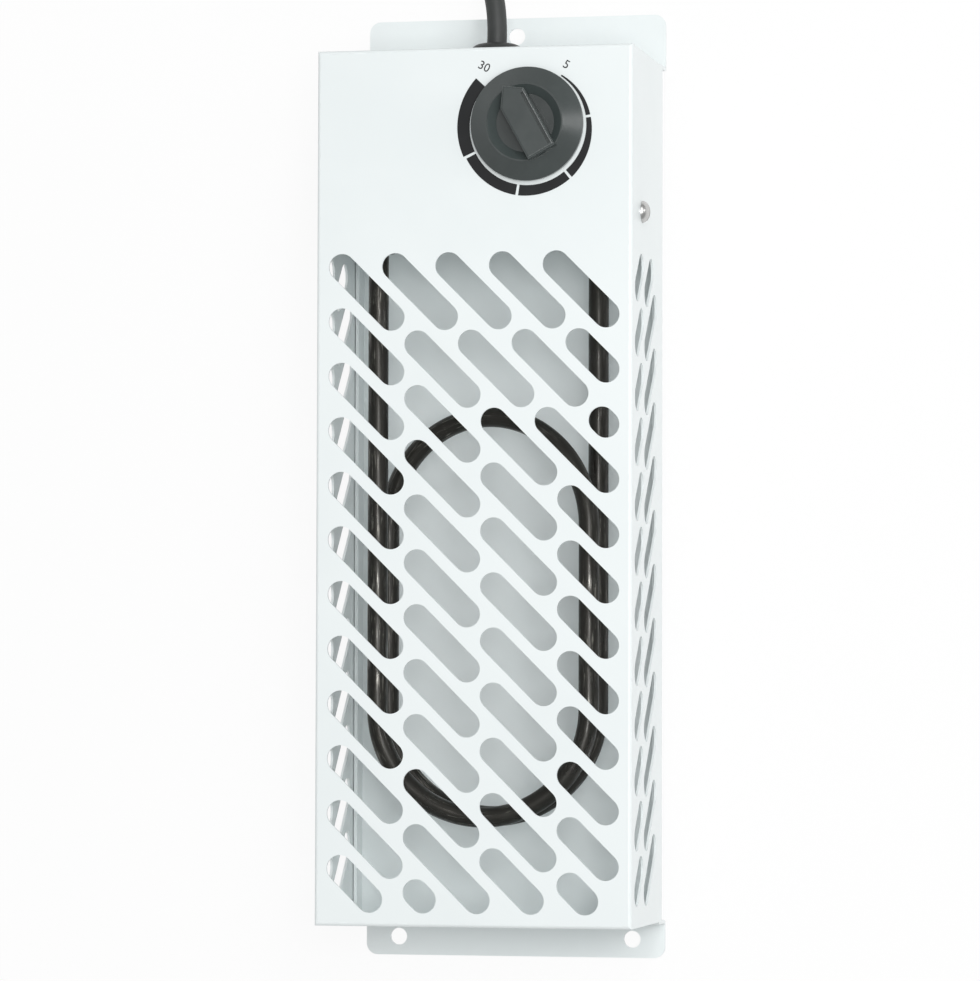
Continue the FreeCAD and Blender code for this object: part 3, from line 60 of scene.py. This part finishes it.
# The camera that took the photograph: where it stands, and its right, up and back directions.
CAMERA_PLACE = (0.33553, -0.07525, 1.62412)
CAMERA_RIGHT = (0.97817, 0.00258, -0.20781)
CAMERA_UP = (0.00667, 0.99902, 0.04379)
CAMERA_BACK = (0.20772, -0.04423, 0.97719)
CAMERA_LENS = 171.34
CAMERA_SENSOR = 36.0
CAMERA_FAR = 50.0

# The studio: each lamp's place, what it looks at and its width, and the floor.
LAMPS = {
    "front": ((0.66, 0.20, 1.45), (0.0, 0.0, 0.03), 0.8),
    "key": ((0.45, 0.75, 1.2), (0.0, 0.0, 0.03), 0.25),
    "fill": ((0.42, -0.02, 1.75), (0.0, 0.0, 0.03), 0.45),
    "side": ((1.18, 0.28, 0.60), (0.0, 0.08, 0.05), 0.4),
}
WHITE = (1.0, 1.0, 1.0, 1.0)
FLOOR_REACH = 6.0
FLOOR_DROP = 0.0002
FLOOR_GLOW = 0.90

# The element: its tube, how far below the partition its arch begins, and points along its stretches.
TUBE_RADIUS = 3.5
ARCH_DROP = 98.7
LONG_LEG_POINTS = 90
SHORT_LEG_POINTS = 40
TURN_POINTS = 64

# The knob's dish: its depth, and where its floor's painted shade, its side's painted light and, above
# the floor, this painted shading end.
DISH_DEPTH = 6.6
DISH_FLOOR_END = (9.8, 10.4)
DISH_SIDE_END = (12.6, 13.0)
DISH_SHADING_END = (2.4, 2.8)

# The numbers at the scale's ends: text, place of its middle across and up the front, and its turn.
NUMBERS = (("30", 3.6, 139.8, -27.0), ("5", 32.2, 139.8, -31.0))
NUMBER_LIFT = 0.08
DIGIT_SHARE = 0.69

# The cord: its route from the grommet's top to where its coil begins, and its heading there.
CORD_ROUTE = [(0.0, 152.8, 36.0), (0.4, 161.8, 35.7), (-3.0, 176.8, 33.0), (0.0, 194.8, 25.0),
              (17.0, 213.2, 13.0), (29.0, 231.2, 4.4), (32.742, 248.807, 4.4)]
CORD_HEADING = 78.0
CORD_RADIUS = 3.5

# The coil: the straight run before it, its half turns, and the straight run to the plug.
COIL_LEAD = 7.0
COIL_OUTER = 51.4
COIL_STEP = 3.8
COIL_RISE = 7.6
COIL_TURNS_IN = 6
COIL_TURNS = 11
COIL_END = 26.0
POINTS_PER_HALF_TURN = 12


class Flow:
    """A shader socket that takes part in Python arithmetic by adding Math nodes."""

    def __init__(self, finish, socket):
        self.finish = finish
        self.socket = socket

    def maths(self, operation, one, two):
        """A Math node on two values."""
        return self.finish.add("ShaderNodeMath", {"operation": operation}, {0: one, 1: two})

    def __add__(self, other):
        return self.maths("ADD", self, other)

    def __radd__(self, other):
        return self.maths("ADD", other, self)

    def __sub__(self, other):
        return self.maths("SUBTRACT", self, other)

    def __rsub__(self, other):
        return self.maths("SUBTRACT", other, self)

    def __mul__(self, other):
        return self.maths("MULTIPLY", self, other)

    def __rmul__(self, other):
        return self.maths("MULTIPLY", other, self)

    def __pow__(self, other):
        return self.maths("POWER", self, other)

    def clamped(self):
        """The value kept between 0 and 1."""
        return self.finish.add("ShaderNodeClamp", {}, {"Value": self})

    def step(self, low, high):
        """A smooth step from 0 at low to 1 at high."""
        return self.finish.add("ShaderNodeMapRange", {"interpolation_type": "SMOOTHSTEP"},
                               {"Value": self, "From Min": low, "From Max": high,
                                "To Min": 0.0, "To Max": 1.0})


class Finish:
    """One procedural material around a Principled shader."""

    def __init__(self, name, colour, roughness, metallic=0.0):
        self.material = bpy.data.materials.new(name)
        self.material.use_nodes = True
        self.tree = self.material.node_tree
        self.shader = self.tree.nodes["Principled BSDF"]
        self.set("Base Color", (*colour, 1.0))
        self.set("Roughness", roughness)
        self.set("Metallic", metallic)
        self.material.diffuse_color = (*colour, 1.0)

    def add(self, kind, settings=None, inputs=None, output=0):
        """Any node: its settings first, then its sockets' values or links."""
        node = self.tree.nodes.new(kind)
        for key, value in (settings or {}).items():
            setattr(node, key, value)
        for key, value in (inputs or {}).items():
            if isinstance(value, Flow):
                self.tree.links.new(value.socket, node.inputs[key])
            else:
                node.inputs[key].default_value = value
        return Flow(self, node.outputs[output])

    def set(self, name, value):
        """A socket of the shader: a constant, or something that changes over the surface."""
        if isinstance(value, Flow):
            self.tree.links.new(value.socket, self.shader.inputs[name])
        else:
            self.shader.inputs[name].default_value = value

    def place(self, stretch=(1.0, 1.0, 1.0), source="Object"):
        """Object coordinates, or those of another source, stretched along the axes."""
        spot = self.add("ShaderNodeTexCoord", output=source)
        return self.add("ShaderNodeMapping", {"vector_type": "POINT"},
                        {"Vector": spot, "Scale": stretch})

    def along(self, stretch):
        """The piece's own UV map: along and around it, stretched."""
        return self.place(stretch, "UV")

    def noise(self, scale, detail=3.0, rough=0.5, where=None):
        """Cloudy noise between 0 and 1, its scale in features per metre."""
        spot = where if where is not None else self.place()
        return self.add("ShaderNodeTexNoise", {}, {"Vector": spot, "Scale": scale, "Detail": detail,
                                                   "Roughness": rough})

    def mix(self, one, two, share):
        """A colour between two colours, which are the Mix node's sockets 6 and 7 and its output 2."""
        one = one if isinstance(one, Flow) else (*one, 1.0)
        two = two if isinstance(two, Flow) else (*two, 1.0)
        return self.add("ShaderNodeMix", {"data_type": "RGBA"}, {0: share, 6: one, 7: two}, output=2)

    def relief(self, height, depth, strength):
        """Bump from a height between 0 and 1 and its depth in metres."""
        self.set("Normal", self.add("ShaderNodeBump", {}, {"Strength": strength, "Distance": depth,
                                                            "Height": height}))


def shade(colour, factor, lift=0.0):
    """A colour made darker or paler by a factor, and lifted."""
    return tuple(c * factor + lift for c in colour)


def coat(finish, *names):
    """Give CAD pieces a finish in all their slots."""
    for name in names:
        data = NODES[name].data
        data.materials.clear()
        data.materials.append(finish.material)


def new_piece(name, points, faces, uv, body, finish):
    """A smooth mesh piece from points, faces and the points' UV places, riding on a body."""
    data = bpy.data.meshes.new(name)
    data.from_pydata(points.tolist(), [], faces)
    layer = data.uv_layers.new(name="UVMap")
    corners = np.empty(len(data.loops), dtype=np.int32)
    data.loops.foreach_get("vertex_index", corners)
    layer.data.foreach_set("uv", uv[corners].astype(np.float32).ravel())
    data.polygons.foreach_set("use_smooth", np.full(len(data.polygons), True))
    data.materials.append(finish.material)
    data.validate()
    data.update()
    obj = bpy.data.objects.new(name, data)
    bpy.context.scene.collection.objects.link(obj)
    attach(obj, body)
    return obj


def ring_faces(rows, columns):
    """Quads between rows of points, each row a ring whose last point joins its first."""
    row, column = np.meshgrid(np.arange(rows - 1), np.arange(columns), indexing="ij")
    after = (column + 1) % columns
    quads = np.stack([row * columns + column, row * columns + after,
                      (row + 1) * columns + after, (row + 1) * columns + column], axis=-1)
    return quads.reshape(-1, 4)


def swept_tube(path, radius, sides):
    """A round section carried along a path: each ring lies across the path's own direction,
    its first point turned towards the front, and a flat face closes each end. Returns points, faces,
    and along-around places."""
    ahead = np.gradient(path, axis=0)
    ahead /= np.linalg.norm(ahead, axis=1, keepdims=True)
    front = np.array([0.0, 0.0, 1.0])
    first = front - (ahead @ front)[:, None] * ahead
    first /= np.linalg.norm(first, axis=1, keepdims=True)
    second = np.cross(ahead, first)
    angle = np.linspace(0, 2 * math.pi, sides, endpoint=False)
    rings = (path[:, None, :] + radius * (np.cos(angle)[None, :, None] * first[:, None, :]
                                          + np.sin(angle)[None, :, None] * second[:, None, :]))
    gone = np.concatenate([[0.0], np.cumsum(np.linalg.norm(np.diff(path, axis=0), axis=1))])
    uv = np.stack(np.broadcast_arrays(gone[:, None], angle[None, :] / (2 * math.pi)), axis=-1)
    walls = ring_faces(len(path), sides).tolist()
    rim = np.arange(sides)
    ends = [rim[::-1].tolist(), (rim + (len(path) - 1) * sides).tolist()]
    return rings.reshape(-1, 3), walls + ends, uv.reshape(-1, 2)


def arc_points(one, two, bulge, count):
    """Points of the half circle between two points that bulges to one side."""
    middle = (one + two) / 2
    reach = np.linalg.norm(two - one) / 2
    angle = np.linspace(0, math.pi, count)[:, None]
    return middle + (one - middle) * np.cos(angle) + bulge * reach * np.sin(angle)


def line_points(one, two, count):
    """Points of the straight run between two points."""
    share = np.linspace(0, 1, count)[:, None]
    return one + (two - one) * share


def enamel(name, colour, roughness):
    """White powder coat: a faint cloud in the colour, and the fine orange peel of the coat."""
    finish = Finish(name, colour, roughness)
    cloud = finish.noise(14.0, detail=4.0, rough=0.6)
    duller = tuple(c * f for c, f in zip(colour, (0.965, 0.97, 0.972)))
    finish.set("Base Color", finish.mix(colour, duller, cloud.step(0.35, 0.75)))
    finish.set("Roughness", finish.noise(60.0) * 0.10 + (roughness - 0.05))
    peel = finish.noise(1100.0, detail=2.0) * 0.7 + finish.noise(260.0, detail=2.0) * 0.3
    finish.relief(peel, depth=0.00003, strength=0.35)
    finish.set("Coat Weight", 0.15)
    finish.set("Coat Roughness", 0.25)
    return finish


def bare_metal(name, colour, roughness, grain=(1.0, 1.0, 1.0)):
    """Plain metal with a drawn grain and cloudy tarnish."""
    finish = Finish(name, colour, roughness, metallic=1.0)
    drawn = finish.noise(900.0, rough=0.6, where=finish.place(grain))
    tarnish = finish.noise(120.0, detail=4.0, rough=0.6)
    finish.set("Base Color", finish.mix(colour, shade(colour, 0.72), tarnish.step(0.4, 0.8)))
    finish.set("Roughness", drawn * 0.2 + (roughness - 0.1))
    finish.relief(drawn, depth=0.00002, strength=0.4)
    return finish


def moulded(name, colour, roughness, grain=1500.0, depth=0.00004):
    """Moulded plastic or rubber: a fine spark grain, faint clouds and uneven gloss."""
    finish = Finish(name, colour, roughness)
    cloud = finish.noise(70.0, detail=4.0, rough=0.6)
    finish.set("Base Color", finish.mix(colour, shade(colour, 1.25, 0.004), cloud.step(0.35, 0.8)))
    finish.set("Roughness", finish.noise(220.0) * 0.16 + (roughness - 0.08))
    finish.relief(finish.noise(grain, detail=2.0), depth, strength=0.4)
    return finish


class HeaterColours(bpy.types.PropertyGroup):
    """Colours of the heater's finishes."""

    enamel: bpy.props.FloatVectorProperty(
        name="Enamel", description="Powder coat of the sheet pieces", subtype="COLOR", size=3,
        min=0.0, max=1.0, default=(0.862, 0.912, 0.914))
    element: bpy.props.FloatVectorProperty(
        name="Element", description="Oxidised tube of the heating element", subtype="COLOR", size=3,
        min=0.0, max=1.0, default=(0.030, 0.028, 0.0235))
    knob: bpy.props.FloatVectorProperty(
        name="Knob", description="Moulded thermostat knob", subtype="COLOR", size=3,
        min=0.0, max=1.0, default=(0.039, 0.049, 0.048))
    print_black: bpy.props.FloatVectorProperty(
        name="Scale print", description="Printed scale and its numbers", subtype="COLOR", size=3,
        min=0.0, max=1.0, default=(0.010, 0.011, 0.012))
    rubber: bpy.props.FloatVectorProperty(
        name="Rubber", description="Cord, grommet and plug", subtype="COLOR", size=3,
        min=0.0, max=1.0, default=(0.033, 0.0358, 0.035))


class HeaterSizes(bpy.types.PropertyGroup):
    """Sizes of what is added to the frame."""

    number_height: bpy.props.FloatProperty(
        name="Number height", description="Height of the numbers at the scale's ends", unit="LENGTH",
        default=0.0029, min=0.001, max=0.01)
    cord_diameter: bpy.props.FloatProperty(
        name="Cord diameter", description="Outside of the supply cord", unit="LENGTH",
        default=2 * CORD_RADIUS * MM, min=0.004, max=0.012)
    tube_sides: bpy.props.IntProperty(
        name="Tube sides", description="Sides of the element's round section",
        default=40, min=12, max=96)


class HeaterStudio(bpy.types.PropertyGroup):
    """Light and lens of the studio."""

    sky: bpy.props.FloatProperty(
        name="Sky", description="Strength of the even light from all around",
        default=0.42, min=0.0, max=3.0)
    front_power: bpy.props.FloatProperty(
        name="Front light", description="Power of the large lamp up to the right", unit="POWER",
        default=5.4, min=0.0, max=500.0)
    key_power: bpy.props.FloatProperty(
        name="Key light", description="Power of the lamp above the cord end", unit="POWER",
        default=2.4, min=0.0, max=500.0)
    fill_power: bpy.props.FloatProperty(
        name="Fill light", description="Power of the lamp beside the camera", unit="POWER",
        default=9.0, min=0.0, max=500.0)
    side_power: bpy.props.FloatProperty(
        name="Side light", description="Power of the lamp to the right", unit="POWER",
        default=1.6, min=0.0, max=500.0)
    lens: bpy.props.FloatProperty(
        name="Lens", description="Focal length of the camera", subtype="DISTANCE_CAMERA",
        default=CAMERA_LENS, min=20.0, max=300.0)


class HEATER_OT_sheets(bpy.types.Operator):
    """Coat the cover, the back plate and the partition in white enamel"""

    bl_idname = "heater.sheets"
    bl_label = "Sheet pieces"

    def execute(self, context):
        colours = context.scene.heater_colours
        finish = enamel("white powder coat", tuple(colours.enamel), 0.36)
        coat(finish, "front_cover", "back_plate", "control_partition")
        return {"FINISHED"}


class HEATER_OT_element(bpy.types.Operator):
    """Bend the heating element from one tube and finish its fixings"""

    bl_idname = "heater.element"
    bl_label = "Heating element"

    def path(self, radius):
        """Legs and half turns of the front and rear loops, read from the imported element's box."""
        low, high = (np.array(corner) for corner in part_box("heating_element"))
        across = high[0] - radius
        front, rear = high[2] - radius, low[2] + radius
        top = high[1]
        bottom = low[1] + radius + across
        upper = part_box("control_partition")[0][1] - ARCH_DROP * MM
        spots = [np.array(spot) for spot in [
            (-across, top, front), (-across, bottom, front),
            (across, bottom, front), (across, upper, front),
            (-across, upper, rear), (-across, bottom, rear),
            (across, bottom, rear), (across, top, rear)]]
        down, up = np.array([0.0, -1.0, 0.0]), np.array([0.0, 1.0, 0.0])
        return np.concatenate([
            line_points(spots[0], spots[1], LONG_LEG_POINTS),
            arc_points(spots[1], spots[2], down, TURN_POINTS)[1:],
            line_points(spots[2], spots[3], SHORT_LEG_POINTS)[1:],
            arc_points(spots[3], spots[4], up, TURN_POINTS)[1:],
            line_points(spots[4], spots[5], SHORT_LEG_POINTS)[1:],
            arc_points(spots[5], spots[6], down, TURN_POINTS)[1:],
            line_points(spots[6], spots[7], LONG_LEG_POINTS)[1:]])

    def oxidised(self, dark):
        """Black oxidised steel with pale streaks along the tube, part rubbed wear, part painted
        highlight; some glint.
        """
        finish = Finish("black oxidised tube", dark, 0.35, metallic=0.6)
        streak = finish.noise(1.0, detail=4.0, rough=0.65, where=finish.along((90.0, 26.0, 1.0)))
        patch = finish.noise(38.0, detail=4.0, rough=0.6)
        # the pale streaks are partly rubbed wear and partly painted highlight
        share = streak.step(0.53, 0.70) * patch.step(0.38, 0.58)
        finish.set("Base Color", finish.mix(dark, shade(dark, 6.0, 0.06), share))
        glint = streak.step(0.46, 0.62) * finish.noise(55.0, rough=0.6).step(0.5, 0.64)
        finish.set("Roughness", 0.46 - glint * 0.32)
        finish.set("Coat Weight", glint * 0.5 + 0.16)
        finish.set("Coat Roughness", 0.2)
        finish.relief(streak, depth=0.00003, strength=0.3)
        return finish

    def execute(self, context):
        dark = tuple(context.scene.heater_colours.element)
        finish = self.oxidised(dark)
        radius = TUBE_RADIUS * MM
        points, faces, uv = swept_tube(self.path(radius), radius, context.scene.heater_sizes.tube_sides)
        tube = new_piece("element_tube", points, faces, uv, "heater", finish)
        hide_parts("heating_element")
        coat(moulded("oxidised bush", dark, 0.45), "element_bushes", "element_nuts")
        brass = bare_metal("turned brass", (0.60, 0.43, 0.19), 0.34)
        coat(brass, "element_terminals", "thermostat_tabs")
        zinc = bare_metal("zinc plate", (0.52, 0.53, 0.55), 0.38)
        coat(zinc, "element_washers", "partition_rivets", "thermostat_plate", "earth_stud", "earth_nut",
             "knob_spring", "thermostat_shaft")
        ceramic = moulded("unglazed ceramic", (0.72, 0.68, 0.60), 0.62, grain=2200.0, depth=0.00003)
        coat(ceramic, "element_insulators", "terminal_block")
        return {"FINISHED"}


class HEATER_OT_knob(bpy.types.Operator):
    """Finish the thermostat knob and the thermostat behind it"""

    bl_idname = "heater.knob"
    bl_label = "Knob and thermostat"

    def painted_dish_shade_and_light(self, finish, colour):
        """The knob's colour, darker on the floor of its dish as painted shade and paler up the dish's
        side as painted light, both found from the knob's own box."""
        corners = np.array([tuple(corner) for corner in NODES["knob"].bound_box])
        middle = (corners.min(axis=0) + corners.max(axis=0)) / 2
        floor = corners[:, 2].max() - DISH_DEPTH * MM
        spot = finish.place()
        across, up, out = (
            finish.add("ShaderNodeSeparateXYZ", {}, {"Vector": spot}, axis) for axis in "XYZ")
        reach = ((across - middle[0]) ** 2.0 + (up - middle[1]) ** 2.0) ** 0.5
        inside = 1.0 - out.step(*(floor + end * MM for end in DISH_SHADING_END))
        past_floor = reach.step(*(end * MM for end in DISH_FLOOR_END))
        past_side = reach.step(*(end * MM for end in DISH_SIDE_END))
        # painted shade darkens the dish's floor, and painted light pales the dish's side
        painted_shade_floor_share = (1.0 - past_floor) * inside
        painted_light_side_share = past_floor * (1.0 - past_side) * inside
        cloud = finish.noise(70.0, detail=4.0, rough=0.6).step(0.35, 0.8)
        cloudy = finish.mix(colour, shade(colour, 1.2, 0.003), cloud)
        with_painted_floor_shade = finish.mix(cloudy, shade(colour, 0.78), painted_shade_floor_share)
        return finish.mix(with_painted_floor_shade, shade(colour, 1.55), painted_light_side_share)

    def execute(self, context):
        colour = tuple(context.scene.heater_colours.knob)
        finish = moulded("dark grey knob", colour, 0.32, grain=2600.0, depth=0.00002)
        finish.set("Specular IOR Level", 0.85)
        # the knob's colour carries painted shade on the dish floor and painted light up the dish's side
        finish.set("Base Color", self.painted_dish_shade_and_light(finish, colour))
        coat(finish, "knob")
        coat(moulded("brown phenolic", (0.055, 0.032, 0.022), 0.40), "thermostat_body")
        return {"FINISHED"}


class HEATER_OT_scale(bpy.types.Operator):
    """Print the scale around the knob and the numbers at its ends"""

    bl_idname = "heater.scale"
    bl_label = "Scale"

    def number(self, text, across, up, turn, height, finish):
        """Flat digits, centred on their place and turned, as a mesh on the front face."""
        curve = bpy.data.curves.new(f"number_{text}", "FONT")
        curve.body = text
        curve.align_x = "CENTER"
        curve.align_y = "CENTER"
        curve.size = height / DIGIT_SHARE
        curve.resolution_u = 10
        maker = bpy.data.objects.new(f"maker_{text}", curve)
        bpy.context.scene.collection.objects.link(maker)
        bpy.context.view_layer.update()
        drawn = maker.evaluated_get(bpy.context.evaluated_depsgraph_get())
        data = bpy.data.meshes.new_from_object(drawn)
        bpy.data.objects.remove(maker)
        bpy.data.curves.remove(curve)
        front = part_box("front_cover")[1][2] + NUMBER_LIFT * MM
        spot = Matrix.Translation((across * MM, up * MM, front))
        data.transform(spot @ Matrix.Rotation(math.radians(turn), 4, "Z"))
        data.name = f"number_{text}"
        data.materials.clear()
        data.materials.append(finish.material)
        obj = bpy.data.objects.new(f"number_{text}", data)
        bpy.context.scene.collection.objects.link(obj)
        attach(obj, "heater")

    def execute(self, context):
        black = tuple(context.scene.heater_colours.print_black)
        finish = moulded("black screen print", black, 0.55, grain=3000.0, depth=0.00001)
        finish.set("Specular IOR Level", 0.3)
        coat(finish, "dial_scale")
        for text, across, up, turn in NUMBERS:
            self.number(text, across, up, turn, context.scene.heater_sizes.number_height, finish)
        return {"FINISHED"}


class HEATER_OT_fixings(bpy.types.Operator):
    """Finish the screws"""

    bl_idname = "heater.fixings"
    bl_label = "Screws"

    def execute(self, context):
        steel = bare_metal("bright screw steel", (0.60, 0.60, 0.59), 0.30, grain=(1.0, 6.0, 1.0))
        coat(steel, "side_screws", "thermostat_screws", "clamp_screws", "block_screw",
             "terminal_screws")
        return {"FINISHED"}


class HEATER_OT_wiring(bpy.types.Operator):
    """Finish the inner cable, its clamp, the cord's tie and the wires"""

    bl_idname = "heater.wiring"
    bl_label = "Wiring"

    def execute(self, context):
        rubber = tuple(context.scene.heater_colours.rubber)
        coat(moulded("inner sheath", rubber, 0.55), "inner_cable")
        coat(moulded("black nylon", (0.022, 0.022, 0.023), 0.45), "cable_clamp", "cord_tie")
        brown = moulded("brown wire", (0.075, 0.030, 0.012), 0.45)
        coat(brown, "wire_live", "wire_thermostat", "wire_element")
        coat(moulded("blue wire", (0.012, 0.055, 0.26), 0.45), "wire_neutral", "wire_return")
        green, yellow = (0.05, 0.22, 0.03), (0.72, 0.55, 0.03)
        striped = Finish("green and yellow wire", green, 0.45)
        stripe = striped.noise(160.0, detail=1.0, rough=0.4).step(0.47, 0.53)
        striped.set("Base Color", striped.mix(green, yellow, stripe))
        coat(striped, "wire_earth", "wire_bond")
        return {"FINISHED"}


class HEATER_OT_cord(bpy.types.Operator):
    """Lay the supply cord from its grommet down to the surface and wind the rest into a tied coil"""

    bl_idname = "heater.cord"
    bl_label = "Cord, grommet and plug"

    def coil(self):
        """Half turns whose sides step in, climb one layer where they reverse, and step out again."""
        aim = math.radians(CORD_HEADING)
        heading = np.array([math.cos(aim), math.sin(aim), 0.0])
        outward = np.array([heading[1], -heading[0], 0.0])
        start = np.array(CORD_ROUTE[-1]) + heading * COIL_LEAD
        centre = start - outward * COIL_OUTER
        count = np.arange(COIL_TURNS + 1)
        inward = np.where(count <= COIL_TURNS_IN, count, 2 * COIL_TURNS_IN - 1 - count)
        reach = COIL_OUTER - COIL_STEP * inward
        sign = np.where(count % 2 == 0, 1.0, -1.0)
        lift = np.where(count < COIL_TURNS_IN, 0.0, COIL_RISE)
        sides = centre + outward * (reach * sign)[:, None] + np.array([0.0, 0.0, 1.0]) * lift[:, None]
        # the spline runs inside its points, so the points stand out by as much
        swell = 1 / math.cos(math.pi / 2 / POINTS_PER_HALF_TURN)
        angle = (np.arange(POINTS_PER_HALF_TURN) + 0.5) * math.pi / POINTS_PER_HALF_TURN
        turns = []
        for j in range(COIL_TURNS):
            middle = (sides[j] + sides[j + 1]) / 2
            arm = (sides[j] - middle) * swell
            bulge = heading * sign[j] * np.linalg.norm(arm)
            turns.append(middle + arm * np.cos(angle)[:, None] + bulge * np.sin(angle)[:, None])
        end = sides[-1] + heading * sign[-1] * COIL_END
        return np.concatenate(turns + [end[None, :]])

    def sheath(self, rubber):
        """Drawn rubber with a faint dusty bloom, its drawing marks along the cord."""
        finish = Finish("rubber sheath", rubber, 0.52)
        drawn = finish.noise(1.0, where=finish.along((14.0, 30.0, 1.0)))
        bloom = finish.noise(45.0, detail=4.0, rough=0.6)
        dusty = shade(rubber, 1.5, 0.01)
        finish.set("Base Color", finish.mix(rubber, dusty, bloom.step(0.35, 0.8) * 0.6))
        finish.set("Roughness", bloom * 0.16 + 0.44)
        marks = drawn * 0.6 + finish.noise(1800.0, detail=2.0) * 0.4
        finish.relief(marks, depth=0.00004, strength=0.4)
        return finish

    def execute(self, context):
        rubber = tuple(context.scene.heater_colours.rubber)
        points = np.concatenate([np.array(CORD_ROUTE), self.coil()]) * MM
        curve = bpy.data.curves.new("supply_lead", "CURVE")
        curve.dimensions = "3D"
        curve.bevel_depth = context.scene.heater_sizes.cord_diameter / 2
        curve.bevel_resolution = 6
        curve.resolution_u = 6
        curve.use_fill_caps = True
        spline = curve.splines.new("NURBS")
        spline.points.add(len(points) - 1)
        spline.points.foreach_set("co", np.column_stack([points, np.ones(len(points))]).ravel())
        spline.order_u = 3
        spline.use_endpoint_u = True
        curve.materials.append(self.sheath(rubber).material)
        lead = bpy.data.objects.new("supply_lead", curve)
        context.scene.collection.objects.link(lead)
        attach(lead, "heater")
        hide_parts("supply_cord", "cord_coil")
        coat(moulded("moulded rubber", rubber, 0.50, grain=1600.0), "cable_grommet", "plug_body")
        coat(bare_metal("nickel plate", (0.62, 0.61, 0.58), 0.24), "plug_pins", "plug_earth_clips")
        return {"FINISHED"}


class HEATER_OT_stage(bpy.types.Operator):
    """Set up the floor, the light and the camera"""

    bl_idname = "heater.stage"
    bl_label = "Studio"

    def floor(self):
        """A wide floor under the heater that looks near white and keeps the heater's shadow."""
        data = bpy.data.meshes.new("floor")
        square = [(-1, -1), (1, -1), (1, 1), (-1, 1)]
        data.from_pydata([(x * FLOOR_REACH, y * FLOOR_REACH, -FLOOR_DROP) for x, y in square], [],
                         [(0, 1, 2, 3)])
        finish = Finish("studio floor", (0.93, 0.93, 0.93), 0.9)
        rays = ("Is Camera Ray", "Is Glossy Ray", "Is Transmission Ray")
        seen, glossy, clear = (finish.add("ShaderNodeLightPath", output=ray) for ray in rays)
        glow = finish.add("ShaderNodeEmission", {}, {"Color": WHITE, "Strength": 1.0})
        share = (seen + glossy + clear).clamped() * FLOOR_GLOW
        plain = Flow(finish, finish.shader.outputs[0])
        both = finish.add("ShaderNodeMixShader", {}, {0: share, 1: plain, 2: glow})
        finish.tree.links.new(both.socket, finish.tree.nodes["Material Output"].inputs["Surface"])
        data.materials.append(finish.material)
        obj = bpy.data.objects.new("floor", data)
        bpy.context.scene.collection.objects.link(obj)

    def lamp(self, name, place, aim, size, power):
        """A square lamp that looks at a point."""
        light = bpy.data.lights.new(name, "AREA")
        light.shape = "SQUARE"
        light.size = size
        light.energy = power
        obj = bpy.data.objects.new(name, light)
        obj.location = place
        obj.rotation_euler = (Vector(aim) - Vector(place)).to_track_quat("-Z", "Y").to_euler()
        bpy.context.scene.collection.objects.link(obj)

    def sky(self, strength):
        """Even white light from all around."""
        world = bpy.data.worlds.new("studio sky")
        bpy.context.scene.world = world
        world.use_nodes = True
        background = world.node_tree.nodes["Background"]
        background.inputs["Color"].default_value = WHITE
        background.inputs["Strength"].default_value = strength

    def camera(self, lens):
        """The camera of the photograph, from its three directions and its place."""
        data = bpy.data.cameras.new("photograph")
        data.lens = lens
        data.sensor_width = CAMERA_SENSOR
        data.sensor_fit = "HORIZONTAL"
        data.clip_end = CAMERA_FAR
        obj = bpy.data.objects.new("photograph", data)
        columns = [Vector(CAMERA_RIGHT), Vector(CAMERA_UP), Vector(CAMERA_BACK)]
        turn = Matrix([[c[row] for c in columns] for row in range(3)]).to_4x4()
        obj.matrix_world = Matrix.Translation(CAMERA_PLACE) @ turn
        bpy.context.scene.collection.objects.link(obj)
        bpy.context.scene.camera = obj

    def execute(self, context):
        studio = context.scene.heater_studio
        context.scene.view_settings.view_transform = "Standard"
        self.floor()
        self.sky(studio.sky)
        powers = (studio.front_power, studio.key_power, studio.fill_power, studio.side_power)
        for (name, (place, aim, size)), power in zip(LAMPS.items(), powers):
            self.lamp(name, place, aim, size, power)
        self.camera(studio.lens)
        return {"FINISHED"}


class HEATER_PT_pieces(bpy.types.Panel):
    """Lists the heater's pieces in the sidebar"""

    bl_idname = "HEATER_PT_pieces"
    bl_label = "Heater"
    bl_space_type = "VIEW_3D"
    bl_region_type = "UI"
    bl_category = "Heater"

    def draw(self, context):
        for operator in OPERATORS:
            self.layout.operator(operator.bl_idname)


GROUPS = (HeaterColours, HeaterSizes, HeaterStudio)
OPERATORS = (HEATER_OT_sheets, HEATER_OT_element, HEATER_OT_knob, HEATER_OT_scale, HEATER_OT_fixings,
             HEATER_OT_wiring, HEATER_OT_cord, HEATER_OT_stage)
CLASSES = (*GROUPS, *OPERATORS, HEATER_PT_pieces)


def register():
    """Register the classes and hang the settings on the scene."""
    for cls in CLASSES:
        bpy.utils.register_class(cls)
    bpy.types.Scene.heater_colours = bpy.props.PointerProperty(type=HeaterColours)
    bpy.types.Scene.heater_sizes = bpy.props.PointerProperty(type=HeaterSizes)
    bpy.types.Scene.heater_studio = bpy.props.PointerProperty(type=HeaterStudio)


def unregister():
    """Take the settings and the classes away again."""
    del bpy.types.Scene.heater_studio
    del bpy.types.Scene.heater_sizes
    del bpy.types.Scene.heater_colours
    for cls in reversed(CLASSES):
        bpy.utils.unregister_class(cls)


def main():
    """Make every piece in order."""
    register()
    bpy.ops.heater.sheets()
    bpy.ops.heater.element()
    bpy.ops.heater.knob()
    bpy.ops.heater.scale()
    bpy.ops.heater.fixings()
    bpy.ops.heater.wiring()
    bpy.ops.heater.cord()
    bpy.ops.heater.stage()
    bpy.context.view_layer.update()


if __name__ == "__main__":
    main()
